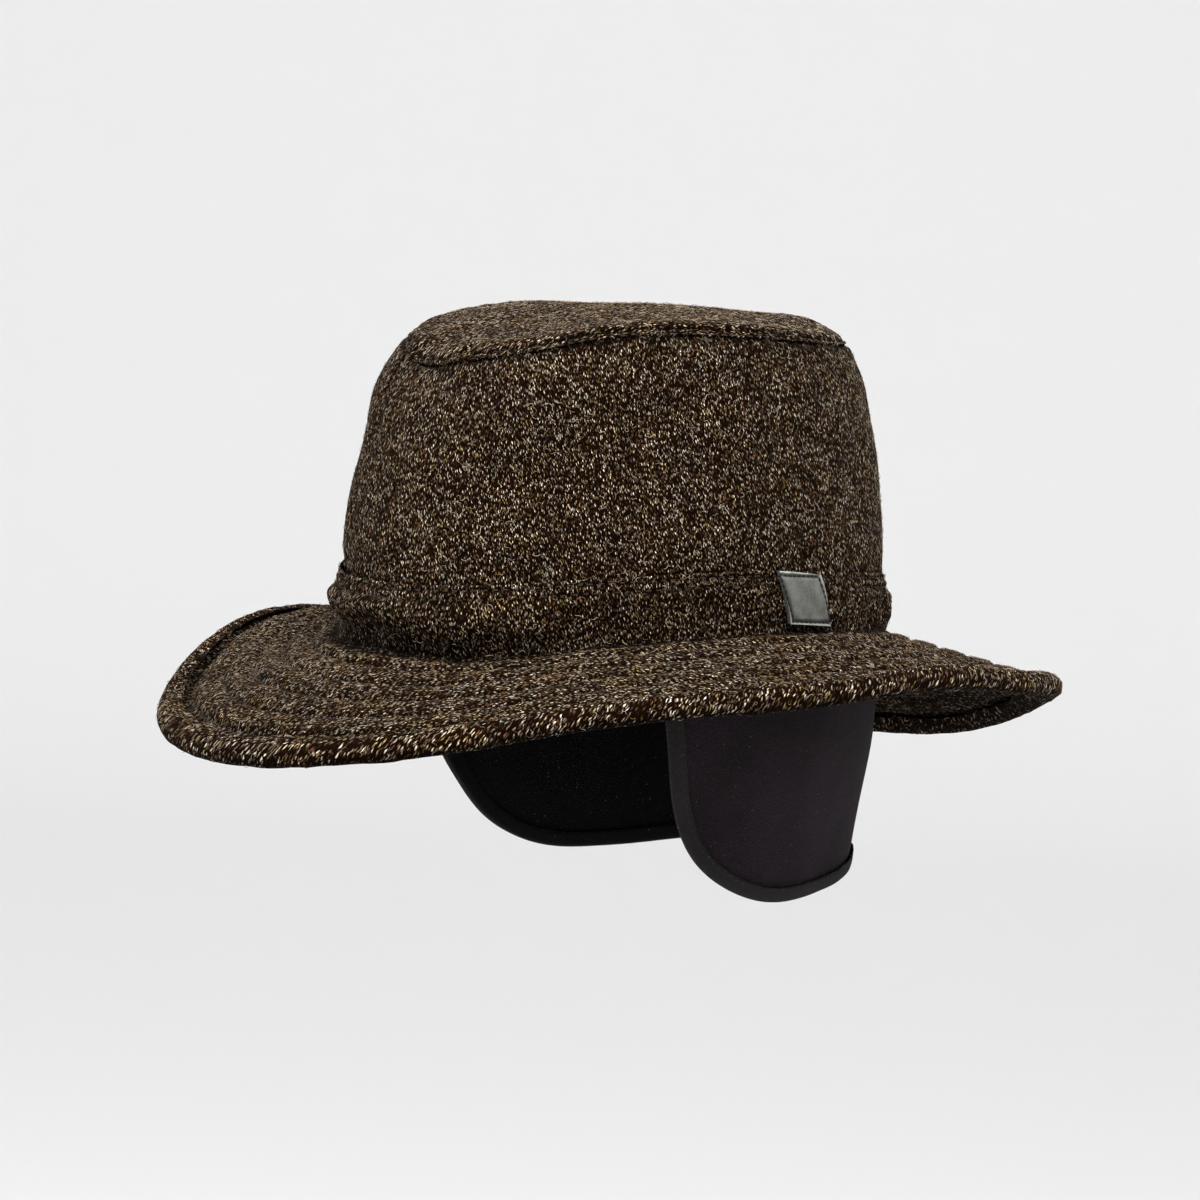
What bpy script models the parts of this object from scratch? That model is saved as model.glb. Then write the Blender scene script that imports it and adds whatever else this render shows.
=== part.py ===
"""A tweed wool hat with an ear warmer that hangs below its brim.

Metres, +Z up. The front of the hat points to -Y and the wearer's left is +X.
The origin is the centre of the head opening, at the line where crown and brim meet.
Angles run round the hat from the front towards the wearer's left.
"""
import math

import bmesh
import bpy
from mathutils import Vector

# General values
GAP = 0.0003
STATIONS_ROUND = 64
SHARP_ANGLE = math.radians(60)
JOIN_DISTANCE = 0.00001
FULL_TURN = 2 * math.pi

# Crown: outside half sizes at the base and at the seam of the top panel
CLOTH = 0.0024
CROWN_HALF_WIDTH = 0.0825
CROWN_HALF_LENGTH = 0.102
SEAM_HALF_WIDTH = 0.071
SEAM_HALF_LENGTH = 0.0825
CROWN_HEIGHT = 0.103
SEAM_FORWARD = 0.0007
SIDE_BULGE = 0.0025
END_BULGE = 0.0068
BACK_FULLNESS = 0.0026
DENT_DEPTH = 0.0035
DENT_FADE = 1.6

# Heights that change round the hat
SEAT_WAVE = 0.006
SEAM_WAVE = 0.005
BRIM_DROP = 0.044

# Top panel
DOME_HEIGHT = 0.0071
DOME_ROUNDNESS = 1.6
WELT_HEIGHT = 0.0036
WELT_BULGE = 0.0004
WELT_LEAN = 0.0042
WELT_SHOULDER = 0.75
WELT_BELLY = 0.35
GROOVE_DEPTH = 0.0012
TIP_CAP_SHARE = 0.06

# Hat band
BAND_HEIGHT = 0.0225
BAND_THICKNESS = 0.003

# Brim and its rolled hem
BRIM_WIDTH = 0.0675
BRIM_THICKNESS = 0.003
BRIM_ROWS = 6
ROW_PUFF = 0.0006
BRIM_CURL = 0.2
HEM_WIDTH = 0.0105
HEM_CLOTH = 0.0011
HEM_EASE = 0.0005

# Leather patch on the band
PATCH_WIDTH = 0.020
PATCH_HEIGHT = 0.0185
PATCH_THICKNESS = 0.0014
PATCH_RIM = 0.0004
PATCH_BORDER = 0.06
PATCH_ANGLE = math.radians(101)
PATCH_LEAN = math.radians(13)

# Ear warmer
WARMER_CLOTH = 0.0022
WARMER_TUCK = 0.012
FLAP_DROP = 0.0895
FLAP_TAPER_WIDTH = 0.011
FLAP_TAPER_LENGTH = 0.0035
FLAP_SWELL = 0.003
FLAP_SWELL_SPAN = 0.7
SWELL_START = 0.001
TAPE_WIDTH = 0.005
TAPE_CLOTH = 0.0008
TAPE_EASE = 0.0005
TAPE_START_DROP = 0.010

# Round the hat, a row every 30 degrees. Seat and seam are heights, drop is the brim's fall,
# width the brim's, and band the band's height, as shares of SEAT_WAVE, SEAM_WAVE, BRIM_DROP,
# BRIM_WIDTH and BAND_HEIGHT.
#  angle  seat   seam   drop  width  band
ROUND = (
    (0, -0.9, -2.25, 0.96, 1.03, 1.0),
    (30, -0.95, -1.35, 0.71, 1.0, 1.1),
    (60, 0.2, 0.35, 0.31, 0.98, 1.03),
    (90, 1.0, 0.55, 0.18, 1.0, 0.96),
    (120, 0.85, 0.25, 0.2, 0.98, 0.9),
    (150, 0.2, 0.5, 0.385, 1.0, 0.9),
    (180, -0.75, 0.95, 0.92, 1.01, 0.95),
    (210, 0.15, 0.55, 1.01, 1.03, 0.93),
    (240, 0.85, 0.25, 0.62, 1.02, 0.92),
    (270, 0.95, 0.7, 0.34, 0.98, 0.96),
    (300, 0.2, -0.25, 0.31, 0.98, 1.0),
    (330, -0.85, -1.4, 0.82, 1.05, 1.05),
)
ROUND_COLUMNS = ("angle", "seat", "seam", "drop", "width", "band")

# Soft hollows in the crown, and swells where the depth is below zero. Height is a share of
# the crown's height, and depth is a share of DENT_DEPTH.
#  angle  height  angle_spread  height_spread  depth
DENTS = (
    (41, 0.58, 24, 0.2, 1.0),
    (78, 0.30, 26, 0.16, -0.45),
    (112, 0.66, 26, 0.22, 0.35),
    (150, 0.22, 24, 0.2, 0.5),
    (192, 0.60, 26, 0.22, 0.7),
    (236, 0.40, 26, 0.2, -0.4),
    (282, 0.62, 30, 0.22, 0.8),
    (324, 0.50, 26, 0.22, -0.5),
    (332, 0.86, 40, 0.13, -0.75),
)

# Half of the ear warmer's lower edge, from the front of a flap to the middle of the back.
# Drop is a share of FLAP_DROP, measured down from the origin's height.
#  top_angle  edge_angle  drop
FLAP_EDGE = (
    (69.0, 70.0, 0.02),
    (70.5, 72.5, 0.16),
    (72.0, 74.5, 0.33),
    (75.0, 77.5, 0.58),
    (80.5, 83.0, 0.79),
    (89.0, 92.0, 0.925),
    (101.0, 104.0, 1.0),
    (118.0, 119.0, 0.995),
    (137.0, 137.0, 0.955),
    (158.0, 158.0, 0.91),
    (180.0, 180.0, 0.88),
)
STATIONS_HALF_WARMER = 26

# Cross-sections as shares. The band's are of its height and its thickness.
BAND_FACE = ((1.0, 0.25), (0.94, 0.55), (0.75, 0.85), (0.5, 1.0), (0.25, 1.0), (0.07, 0.8), (0.0, 0.35))
CROWN_OUTSIDE = (0.0, 0.12, 0.25, 0.4, 0.56, 0.72, 0.87, 0.975)
CROWN_INSIDE = (0.98, 0.7, 0.4, 0.12, 0.0)
DOME_TOP = (TIP_CAP_SHARE, 0.36, 0.62, 0.81, 0.92)
DOME_UNDERSIDE = (0.88, 0.5, TIP_CAP_SHARE)
# The hem's rows are shares of HEM_WIDTH in from the brim's edge, and of HEM_CLOTH.
HEM_FACE = ((1.0, 0.6), (0.55, 1.25), (0.1, 0.7))
HEM_CHANNEL = 0.3
BRIM_IN_HEM = 0.35
PATCH_SLICES = (-1.0, -0.86, -0.45, 0.0, 0.45, 0.86, 1.0)
WARMER_ROWS = (0.0, 0.12, 0.18, 0.32, 0.5, 0.7, 0.86, 1.0)

# Linear colours
TWEED = (0.056, 0.034, 0.022, 1.0)
TWEED_BAND = (0.046, 0.029, 0.018, 1.0)
TWEED_BRIM = (0.066, 0.043, 0.024, 1.0)
PATCH_GREY = (0.168, 0.171, 0.153, 1.0)
WARMER_TWILL = (0.0203, 0.0152, 0.0185, 1.0)
TAPE_BLACK = (0.0185, 0.0168, 0.0176, 1.0)


def clear_scene():
    for item in list(bpy.data.objects):
        bpy.data.objects.remove(item, do_unlink=True)


def cloth_material(name, colour, roughness):
    material = bpy.data.materials.new(name)
    material.use_nodes = True
    shader = material.node_tree.nodes["Principled BSDF"]
    shader.inputs["Base Color"].default_value = colour
    shader.inputs["Roughness"].default_value = roughness
    shader.inputs["Metallic"].default_value = 0.0
    return material


def blend(a, b, share):
    return a + (b - a) * share


def smooth_between(before, start, end, after, share):
    """Cubic curve from start to end that heads on smoothly at both."""
    lead_in = (end - before) / 2
    lead_out = (after - start) / 2
    square = share * share
    cube = square * share
    rise = 3 * square - 2 * cube
    return start + (end - start) * rise + lead_in * (cube - 2 * square + share) + lead_out * (cube - square)


def round_value(angle, column):
    """A column of ROUND at any angle, joined up smoothly round the hat."""
    place = (angle % FULL_TURN) / FULL_TURN * len(ROUND)
    row = int(place)
    index = ROUND_COLUMNS.index(column)
    near = [ROUND[(row + step) % len(ROUND)][index] for step in (-1, 0, 1, 2)]
    return smooth_between(*near, place - row)


def edge_value(place, column):
    """A column of FLAP_EDGE, with place running from 0 at the front to 1 at the back."""
    last = len(FLAP_EDGE) - 1
    spot = min(place * last, last - 1e-9)
    row = int(spot)
    rows = [min(max(row + step, 0), last) for step in (-1, 0, 1, 2)]
    near = [FLAP_EDGE[index][column] for index in rows]
    return smooth_between(*near, spot - row)


def seat_height(angle):
    """Height of the line where crown and brim meet."""
    return SEAT_WAVE * round_value(angle, "seat")


def seam_height(angle):
    return CROWN_HEIGHT + SEAM_WAVE * round_value(angle, "seam")


def oval(angle, half_width, half_length, forward=0.0):
    """Point on a head-shaped oval, a little fuller at the back than at the front."""
    fuller = half_width - BACK_FULLNESS * math.cos(angle)
    return Vector((fuller * math.sin(angle), -half_length * math.cos(angle) - forward, 0.0))


def oval_normal(angle, half_width, half_length):
    step = 0.01
    along = oval(angle + step, half_width, half_length) - oval(angle - step, half_width, half_length)
    return Vector((along.y, -along.x, 0.0)).normalized()


def lift(point, height):
    return Vector((point.x, point.y, height))


def turn_from(angle, middle_degrees):
    """Signed angle from a table's middle angle, the short way round, in degrees."""
    return (math.degrees(angle) - middle_degrees + 180) % 360 - 180


def dent_depth(angle, share):
    depth = 0.0
    for middle, height, angle_spread, height_spread, amount in DENTS:
        across = turn_from(angle, middle) / angle_spread
        up = (share - height) / height_spread
        depth += amount * math.exp(-across * across - up * up)
    return DENT_DEPTH * depth


def crown_outline(angle, share, offset=0.0):
    """Point on the crown's outside at a share of its height, moved out by an offset."""
    swell = 4 * share * (1 - share)
    half_width = blend(CROWN_HALF_WIDTH, SEAM_HALF_WIDTH, share) + SIDE_BULGE * swell
    half_length = blend(CROWN_HALF_LENGTH, SEAM_HALF_LENGTH, share) + END_BULGE * swell
    outward = oval_normal(angle, half_width, half_length)
    spot = oval(angle, half_width, half_length, SEAM_FORWARD * share)
    spot += outward * (offset - dent_depth(angle, share) * min(1, swell * DENT_FADE))
    return lift(spot, blend(seat_height(angle), seam_height(angle), share))


def crown_at_height(angle, height, offset):
    """Point on the crown's outside at a height above the seat."""
    share = height / (seam_height(angle) - seat_height(angle))
    return crown_outline(angle, share, offset)


def station_angles():
    return [FULL_TURN * index / STATIONS_ROUND for index in range(STATIONS_ROUND)]


def first_loop(bm, points):
    verts = [bm.verts.new(point) for point in points]
    for pair in zip(verts, verts[1:] + verts[:1]):
        bm.edges.new(pair)
    return verts


def loop_edges(bm, verts):
    return [bm.edges.get(pair) for pair in zip(verts, verts[1:] + verts[:1])]


def extrude_loop(bm, verts, points):
    """Extrude a closed loop of vertices and move each copy to its own new point."""
    made = bmesh.ops.extrude_edge_only(bm, edges=loop_edges(bm, verts))["geom"]
    fresh = [item for item in made if isinstance(item, bmesh.types.BMVert)]
    place = {vert: index for index, vert in enumerate(verts)}
    moved = [None] * len(verts)
    for vert in fresh:
        source = [edge.other_vert(vert) for edge in vert.link_edges if edge.other_vert(vert) in place]
        index = place[source[0]]
        vert.co = points[index]
        moved[index] = vert
    return moved


def finish_object(name, bm, material):
    bmesh.ops.recalc_face_normals(bm, faces=bm.faces)
    mesh = bpy.data.meshes.new(name)
    bm.to_mesh(mesh)
    bm.free()
    mesh.shade_smooth()
    mesh.set_sharp_from_angle(angle=SHARP_ANGLE)
    mesh.materials.append(material)
    item = bpy.data.objects.new(name, mesh)
    bpy.context.scene.collection.objects.link(item)
    return item


def closed_sweep(name, sections, material):
    """Extrude a section through all the others and back to the first, a ring-shaped body."""
    bm = bmesh.new()
    loop = first_loop(bm, sections[0])
    for section in sections[1:] + sections[:1]:
        loop = extrude_loop(bm, loop, section)
    bmesh.ops.remove_doubles(bm, verts=bm.verts, dist=JOIN_DISTANCE)
    return finish_object(name, bm, material)


def capped_sweep(name, sections, material):
    """Extrude a section through all the others and close both ends."""
    bm = bmesh.new()
    start = first_loop(bm, sections[0])
    loop = start
    for section in sections[1:]:
        loop = extrude_loop(bm, loop, section)
    bmesh.ops.edgeloop_fill(bm, edges=loop_edges(bm, start))
    bmesh.ops.edgeloop_fill(bm, edges=loop_edges(bm, loop))
    return finish_object(name, bm, material)


def crown_side_section(angle):
    """Outside from the brim's underside up to the seam, then down the inside."""
    foot = crown_outline(angle, 0.0)
    foot.z -= BRIM_THICKNESS
    outside = [crown_outline(angle, share) for share in CROWN_OUTSIDE]
    rolled_edge = crown_outline(angle, 1.0, -GROOVE_DEPTH)
    inside = [crown_outline(angle, share, -CLOTH) for share in CROWN_INSIDE]
    inside_foot = crown_outline(angle, 0.0, -CLOTH)
    inside_foot.z -= BRIM_THICKNESS
    top_inside = crown_outline(angle, 1.0, -CLOTH - GROOVE_DEPTH / 2)
    return [foot] + outside + [rolled_edge, top_inside] + inside + [inside_foot]


def dome_point(angle, share, lower=0.0):
    """Point on the top panel, with share running from 0 at its middle to 1 at its rim."""
    rim = seam_height(angle) + GAP + WELT_HEIGHT
    middle = CROWN_HEIGHT + GAP + WELT_HEIGHT
    spot = oval(angle, SEAM_HALF_WIDTH * share, SEAM_HALF_LENGTH * share, SEAM_FORWARD)
    spot.x += BACK_FULLNESS * (1 - share) * math.cos(angle) * math.sin(angle)
    height = blend(middle + DOME_HEIGHT, rim, share ** DOME_ROUNDNESS) - lower
    return lift(spot, height)


def welt_point(angle, height, offset):
    outward = oval_normal(angle, SEAM_HALF_WIDTH, SEAM_HALF_LENGTH)
    spot = oval(angle, SEAM_HALF_WIDTH, SEAM_HALF_LENGTH, SEAM_FORWARD) + outward * offset
    return lift(spot, seam_height(angle) + GAP + height)


def crown_tip_rings():
    """Rings from the middle of the dome out over the welt and back along the underside."""
    angles = station_angles()
    rings = [[dome_point(angle, share) for angle in angles] for share in DOME_TOP]
    welt = (
        (WELT_HEIGHT, -WELT_LEAN),
        (WELT_HEIGHT * WELT_SHOULDER, -WELT_LEAN / 2),
        (WELT_HEIGHT * WELT_BELLY, WELT_BULGE),
        (0.0, -GROOVE_DEPTH / 2),
        (0.0, -CLOTH),
    )
    for height, offset in welt:
        rings.append([welt_point(angle, height, offset) for angle in angles])
    for share in DOME_UNDERSIDE:
        rings.append([dome_point(angle, share, CLOTH) for angle in angles])
    return rings


def band_point(angle, share, thickness_share, extra=0.0):
    """Point on the band, with share running up its height."""
    height = GAP + BAND_HEIGHT * round_value(angle, "band") * share
    return crown_at_height(angle, height, GAP + BAND_THICKNESS * thickness_share + extra)


def band_face_thickness(share):
    """Thickness share of the band's face at a share of its height."""
    for (top, top_value), (foot, foot_value) in zip(BAND_FACE, BAND_FACE[1:]):
        if foot <= share <= top:
            return blend(foot_value, top_value, (share - foot) / (top - foot))
    return 0.0


def band_section(angle):
    """Up the back, against the crown, and down the padded face."""
    back = [band_point(angle, share, 0.0) for share in (0.0, 0.5, 1.0)]
    face = [band_point(angle, share, thickness) for share, thickness in BAND_FACE]
    return back + face


def brim_point(angle, share, rise=0.0):
    """Point on the brim's top, with share running from the crown to the outer edge."""
    width = BRIM_WIDTH * round_value(angle, "width")
    start = seat_height(angle)
    drop = start + BRIM_DROP * round_value(angle, "drop")
    reach = math.sqrt(width * width - drop * drop)
    outward = oval_normal(angle, CROWN_HALF_WIDTH, CROWN_HALF_LENGTH)
    spot = oval(angle, CROWN_HALF_WIDTH, CROWN_HALF_LENGTH) + outward * (GAP + reach * share)
    fall = drop * blend(share, share * share, BRIM_CURL)
    tilt = math.atan2(drop, reach) * min(1, 4 * share)
    spot += outward * rise * math.sin(tilt)
    return lift(spot, start - fall + rise * math.cos(tilt))


def in_from_edge(hem_share):
    """Share of the brim's width at a share of the hem's width in from the edge."""
    return 1 - hem_share * HEM_WIDTH / BRIM_WIDTH


def brim_section(angle):
    """Top with a puffed row between stitch lines, then the underside back to the crown."""
    stitched = in_from_edge(BRIM_IN_HEM)
    top = []
    for row in range(BRIM_ROWS):
        line = stitched * row / BRIM_ROWS
        middle = stitched * (row + 0.5) / BRIM_ROWS
        top.append(brim_point(angle, line, 0.0))
        top.append(brim_point(angle, middle, ROW_PUFF))
    top.append(brim_point(angle, stitched, 0.0))
    underside = []
    for row in range(BRIM_ROWS, -1, -1):
        line = stitched * row / BRIM_ROWS
        underside.append(brim_point(angle, line, -BRIM_THICKNESS))
    return top + underside


def hem_section(angle):
    """Cloth folded round the brim's edge: the outside of the fold, then its inside."""
    above = ROW_PUFF + HEM_EASE
    below = -BRIM_THICKNESS - HEM_EASE
    upper = [(in_from_edge(inward), above + HEM_CLOTH * cloth) for inward, cloth in HEM_FACE]
    lower = [(in_from_edge(inward), below - HEM_CLOTH * cloth) for inward, cloth in HEM_FACE]
    nose = [(1.0, (above + below) / 2)]
    inner = in_from_edge(HEM_FACE[0][0])
    channel = in_from_edge(HEM_CHANNEL)
    inside = [(inner, below), (channel, below), (channel, above), (inner, above)]
    outline = upper + nose + lower[::-1] + inside
    return [brim_point(angle, share, rise) for share, rise in outline]


def patch_section(across):
    """One upright slice of the patch, with across running from -1 to 1 over its width."""
    half_turn = PATCH_WIDTH / 2 / (CROWN_HALF_LENGTH + BAND_THICKNESS)
    margin = (1 - PATCH_HEIGHT / BAND_HEIGHT) / 2
    rows = (margin, margin + PATCH_BORDER, 0.25, 0.5, 0.75, 1 - margin - PATCH_BORDER, 1 - margin)
    back = []
    front = []
    for row in rows:
        lean = math.tan(PATCH_LEAN) * BAND_HEIGHT * (row - 0.5) / CROWN_HALF_LENGTH
        angle = PATCH_ANGLE + half_turn * across - lean
        at_edge = row in (rows[0], rows[-1]) or across in (PATCH_SLICES[0], PATCH_SLICES[-1])
        on_rim = row in (rows[1], rows[-2]) or across in (PATCH_SLICES[1], PATCH_SLICES[-2])
        thickness = PATCH_THICKNESS + (PATCH_RIM if on_rim and not at_edge else 0.0)
        on_face = band_face_thickness(row)
        back.append(band_point(angle, row, on_face, GAP))
        front.append(band_point(angle, row, on_face, GAP + thickness))
    return back + front[::-1]


def warmer_outline(angle, height, offset=0.0):
    """Outside of the ear warmer: it follows the crown's inside, then draws in below it."""
    tight = -CLOTH - GAP + offset
    if height > seat_height(angle):
        return lift(crown_at_height(angle, height - seat_height(angle), tight), height)
    share = max(0.0, seat_height(angle) - BRIM_THICKNESS - SWELL_START - height) / FLAP_DROP
    swell = FLAP_SWELL * math.sin(math.pi * min(1, share / FLAP_SWELL_SPAN))
    half_width = CROWN_HALF_WIDTH - FLAP_TAPER_WIDTH * share + swell
    half_length = CROWN_HALF_LENGTH - FLAP_TAPER_LENGTH * share + swell
    outward = oval_normal(angle, half_width, half_length)
    return lift(oval(angle, half_width, half_length) + outward * tight, height)


def warmer_stations():
    """Top angle, edge angle and drop at each place, from one flap's front to the other's."""
    stations = []
    for index in range(STATIONS_HALF_WARMER):
        place = index / (STATIONS_HALF_WARMER - 1)
        top, edge, drop = [edge_value(place, column) for column in range(3)]
        stations.append((math.radians(top), math.radians(edge), FLAP_DROP * drop))
    mirrored = [(FULL_TURN - top, FULL_TURN - edge, drop) for top, edge, drop in stations[-2::-1]]
    return stations + mirrored


def warmer_section(station):
    top_angle, edge_angle, drop = station
    top = seat_height(top_angle) + WARMER_TUCK
    outside = []
    inside = []
    for row in WARMER_ROWS:
        angle = blend(top_angle, edge_angle, row)
        height = blend(top, -drop, row)
        outside.append(warmer_outline(angle, height))
        inside.append(warmer_outline(angle, height, -WARMER_CLOTH))
    return outside + inside[::-1]


def tape_section(before, here, after):
    """Tape folded round the ear warmer's edge, square to the edge's path."""
    middle = -WARMER_CLOTH / 2
    points = [warmer_outline(edge, -drop, middle) for _, edge, drop in (before, here, after)]
    along = (points[2] - points[0]).normalized()
    skin = warmer_outline(here[1], -here[2], middle + CLOTH) - points[1]
    upright = warmer_outline(here[1], -here[2] + CLOTH, middle) - points[1]
    outward = skin - skin.project(upright)
    outward = (outward - outward.project(along)).normalized()
    into_cloth = outward.cross(along).normalized()
    inner = WARMER_CLOTH / 2 + TAPE_EASE
    outer = inner + TAPE_CLOTH
    shape = (
        (TAPE_WIDTH, outer),
        (TAPE_CLOTH, outer),
        (-TAPE_CLOTH, inner),
        (-TAPE_CLOTH, -inner),
        (TAPE_CLOTH, -outer),
        (TAPE_WIDTH, -outer),
        (TAPE_WIDTH, -inner),
        (-GAP, -inner),
        (-GAP, inner),
        (TAPE_WIDTH, inner),
    )
    return [points[1] + into_cloth * up + outward * out for up, out in shape]


def tape_sections():
    stations = [station for station in warmer_stations() if station[2] > TAPE_START_DROP]
    trios = zip(stations[:1] + stations[:-1], stations, stations[1:] + stations[-1:])
    return [tape_section(*trio) for trio in trios]


def build():
    clear_scene()
    tweed = cloth_material("tweed", TWEED, 0.95)
    band_tweed = cloth_material("band_tweed", TWEED_BAND, 0.95)
    brim_tweed = cloth_material("brim_tweed", TWEED_BRIM, 0.95)
    hem_tweed = cloth_material("hem_tweed", TWEED, 0.95)
    tip_tweed = cloth_material("tip_tweed", TWEED, 0.95)
    leather = cloth_material("grey_leather", PATCH_GREY, 0.6)
    twill = cloth_material("dark_twill", WARMER_TWILL, 0.85)
    tape = cloth_material("edge_tape", TAPE_BLACK, 0.8)

    angles = station_angles()
    closed_sweep("crown_side", [crown_side_section(angle) for angle in angles], tweed)
    capped_sweep("crown_tip", crown_tip_rings(), tip_tweed)
    closed_sweep("hat_band", [band_section(angle) for angle in angles], band_tweed)
    closed_sweep("brim", [brim_section(angle) for angle in angles], brim_tweed)
    closed_sweep("brim_binding", [hem_section(angle) for angle in angles], hem_tweed)
    capped_sweep("label_patch", [patch_section(across) for across in PATCH_SLICES], leather)
    stations = warmer_stations()
    capped_sweep("ear_warmer", [warmer_section(station) for station in stations], twill)
    capped_sweep("ear_warmer_binding", tape_sections(), tape)


build()
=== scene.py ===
# %% [markdown]
# # A tweed wool hat with an ear warmer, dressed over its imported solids
#
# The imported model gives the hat's real shape and size, one solid for each sewn piece.
# This lesson puts the cloth on: every piece gets its own smooth surface, its own weave,
# its seams and its stitches. Metres, +Z up. The front of the hat points to -Y and the
# wearer's left is +X. Angles run round the hat from the front towards the wearer's left.

# %% Load the frame
import math

import bmesh
import bpy
import numpy as np
from mathutils import Matrix, Vector, noise
from mathutils.bvhtree import BVHTree


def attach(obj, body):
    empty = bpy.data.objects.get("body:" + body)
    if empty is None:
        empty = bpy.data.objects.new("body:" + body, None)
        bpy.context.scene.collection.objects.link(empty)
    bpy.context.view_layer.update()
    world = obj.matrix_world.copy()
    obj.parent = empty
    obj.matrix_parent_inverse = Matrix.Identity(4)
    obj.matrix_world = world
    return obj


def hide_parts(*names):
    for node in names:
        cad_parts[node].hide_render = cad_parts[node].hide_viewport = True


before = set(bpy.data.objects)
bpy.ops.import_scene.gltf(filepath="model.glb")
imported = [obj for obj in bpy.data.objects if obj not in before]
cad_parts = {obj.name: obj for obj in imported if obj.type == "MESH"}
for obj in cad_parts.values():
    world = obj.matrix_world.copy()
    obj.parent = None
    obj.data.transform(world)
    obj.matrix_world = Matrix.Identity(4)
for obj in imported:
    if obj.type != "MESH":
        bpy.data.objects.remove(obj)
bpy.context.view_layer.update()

BODY = "root"
print("pieces in the frame:", ", ".join(sorted(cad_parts)))

# %% [markdown]
# ## A map of the hat
#
# Nearly every part of a hat runs round the head. So the handiest coordinates aren't x and
# y but an angle round the head's oval and a distance out from it. They could be painted
# on as a UV map by hand. A formula is better here: it works for any point of any piece,
# and a seam or a stitch line can then be asked for by name, such as 40 mm out on the brim.

# %% The oval of the head and the coordinates round it
OVAL_HALF_WIDTH = 0.0825
OVAL_HALF_LENGTH = 0.102
BACK_FULLNESS = 0.0026
FULL_TURN = 2 * math.pi
STATIONS = 64
ARC_STEPS = 2048
SOLVE_STEPS = 8


def oval(angle):
    fuller = OVAL_HALF_WIDTH - BACK_FULLNESS * np.cos(angle)
    return np.stack([fuller * np.sin(angle), -OVAL_HALF_LENGTH * np.cos(angle)], axis=-1)


def oval_slope(angle):
    step = 0.01
    return (oval(angle + step) - oval(angle - step)) / (2 * step)


def outward(angle):
    slope = oval_slope(angle)
    normal = np.stack([slope[..., 1], -slope[..., 0]], axis=-1)
    return normal / np.linalg.norm(normal, axis=-1, keepdims=True)


def within(amount):
    return np.clip(amount, 0.0, 1.0)


def round_place(points):
    """Angle round the hat and distance out from the oval, for an array of points."""
    flat = points[:, :2]
    angle = np.arctan2(flat[:, 0] / OVAL_HALF_WIDTH, -flat[:, 1] / OVAL_HALF_LENGTH)
    for _ in range(SOLVE_STEPS):
        off = flat - oval(angle)
        out = outward(angle)
        slip = off[:, 1] * out[:, 0] - off[:, 0] * out[:, 1]
        far = (off * out).sum(axis=1)
        speed = np.linalg.norm(oval_slope(angle), axis=1) + far
        angle = angle + slip / np.maximum(speed, 0.02)
    return (angle + math.pi) % FULL_TURN - math.pi, far


ARC_ANGLES = np.linspace(-math.pi, math.pi, ARC_STEPS + 1)
STEP_LENGTHS = np.linalg.norm(np.diff(oval(ARC_ANGLES), axis=0), axis=1)
ARC_RUN = np.concatenate([[0.0], np.cumsum(STEP_LENGTHS)])
HEAD_ROUND = ARC_RUN[-1]


def arc_length(angle):
    """Distance round the oval from the middle of the back, also past a full turn."""
    turns = np.floor((angle + math.pi) / FULL_TURN)
    return turns * HEAD_ROUND + np.interp(angle - turns * FULL_TURN, ARC_ANGLES, ARC_RUN)


print("round the outside of the crown's foot:", round(HEAD_ROUND * 1000), "mm")

# %% [markdown]
# ## From solid to cloth
#
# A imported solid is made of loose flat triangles. Cloth is smooth, and its surface flows
# along the seams. The triangles could be voxel remeshed, but that loses the flow. Here
# they are merged and paired back into the quads they were cut from, and Catmull-Clark
# subdivision then rounds them, which is just what a folded edge of cloth looks like.

# %% Helpers that turn a solid into a smooth piece
JOIN_DISTANCE = 0.00001


def add_object(name, mesh):
    item = bpy.data.objects.new(name, mesh)
    bpy.context.scene.collection.objects.link(item)
    return item


def bake_modifiers(item):
    """Evaluate the object's modifiers into its own mesh and take them off."""
    graph = bpy.context.evaluated_depsgraph_get()
    graph.update()
    finished = bpy.data.meshes.new_from_object(item.evaluated_get(graph))
    item.modifiers.clear()
    item.data = finished
    finished.name = item.name


def mesh_of(bm, name):
    """The finished mesh of a bmesh, with its faces turned outwards."""
    bmesh.ops.recalc_face_normals(bm, faces=bm.faces)
    mesh = bpy.data.meshes.new(name)
    bm.to_mesh(mesh)
    bm.free()
    return mesh


def round_off(item, levels, rule="CATMULL_CLARK"):
    rounding = item.modifiers.new("rounding", "SUBSURF")
    rounding.levels = rounding.render_levels = levels
    rounding.subdivision_type = rule
    bake_modifiers(item)
    item.data.shade_smooth()


def smooth_copy(node, name, levels, rule="CATMULL_CLARK"):
    bm = bmesh.new()
    bm.from_mesh(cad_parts[node].data)
    bmesh.ops.remove_doubles(bm, verts=bm.verts, dist=JOIN_DISTANCE)
    bmesh.ops.join_triangles(bm, faces=bm.faces, angle_face_threshold=math.pi,
                             angle_shape_threshold=math.pi, topology_influence=1.0)
    item = add_object(name, mesh_of(bm, name))
    round_off(item, levels, rule)
    print(f"{name}: {len(item.data.polygons)} faces")
    return item


def vectors_of(parts, key):
    flat = np.empty(len(parts) * 3)
    parts.foreach_get(key, flat)
    return flat.reshape(-1, 3)


def points_of(mesh):
    return vectors_of(mesh.vertices, "co")


def normals_of(item):
    return vectors_of(item.data.vertex_normals, "vector")


def placed(item):
    """A piece's points, their angles round the hat and their distances out."""
    points = points_of(item.data)
    return points, *round_place(points)


def set_points(item, points):
    item.data.vertices.foreach_set("co", points.astype(np.float32).ravel())
    item.data.update()


def write_value(item, name, amount):
    mark = item.data.attributes.new(name, "FLOAT", "POINT")
    mark.data.foreach_set("value", np.asarray(amount, dtype=np.float32))


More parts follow.
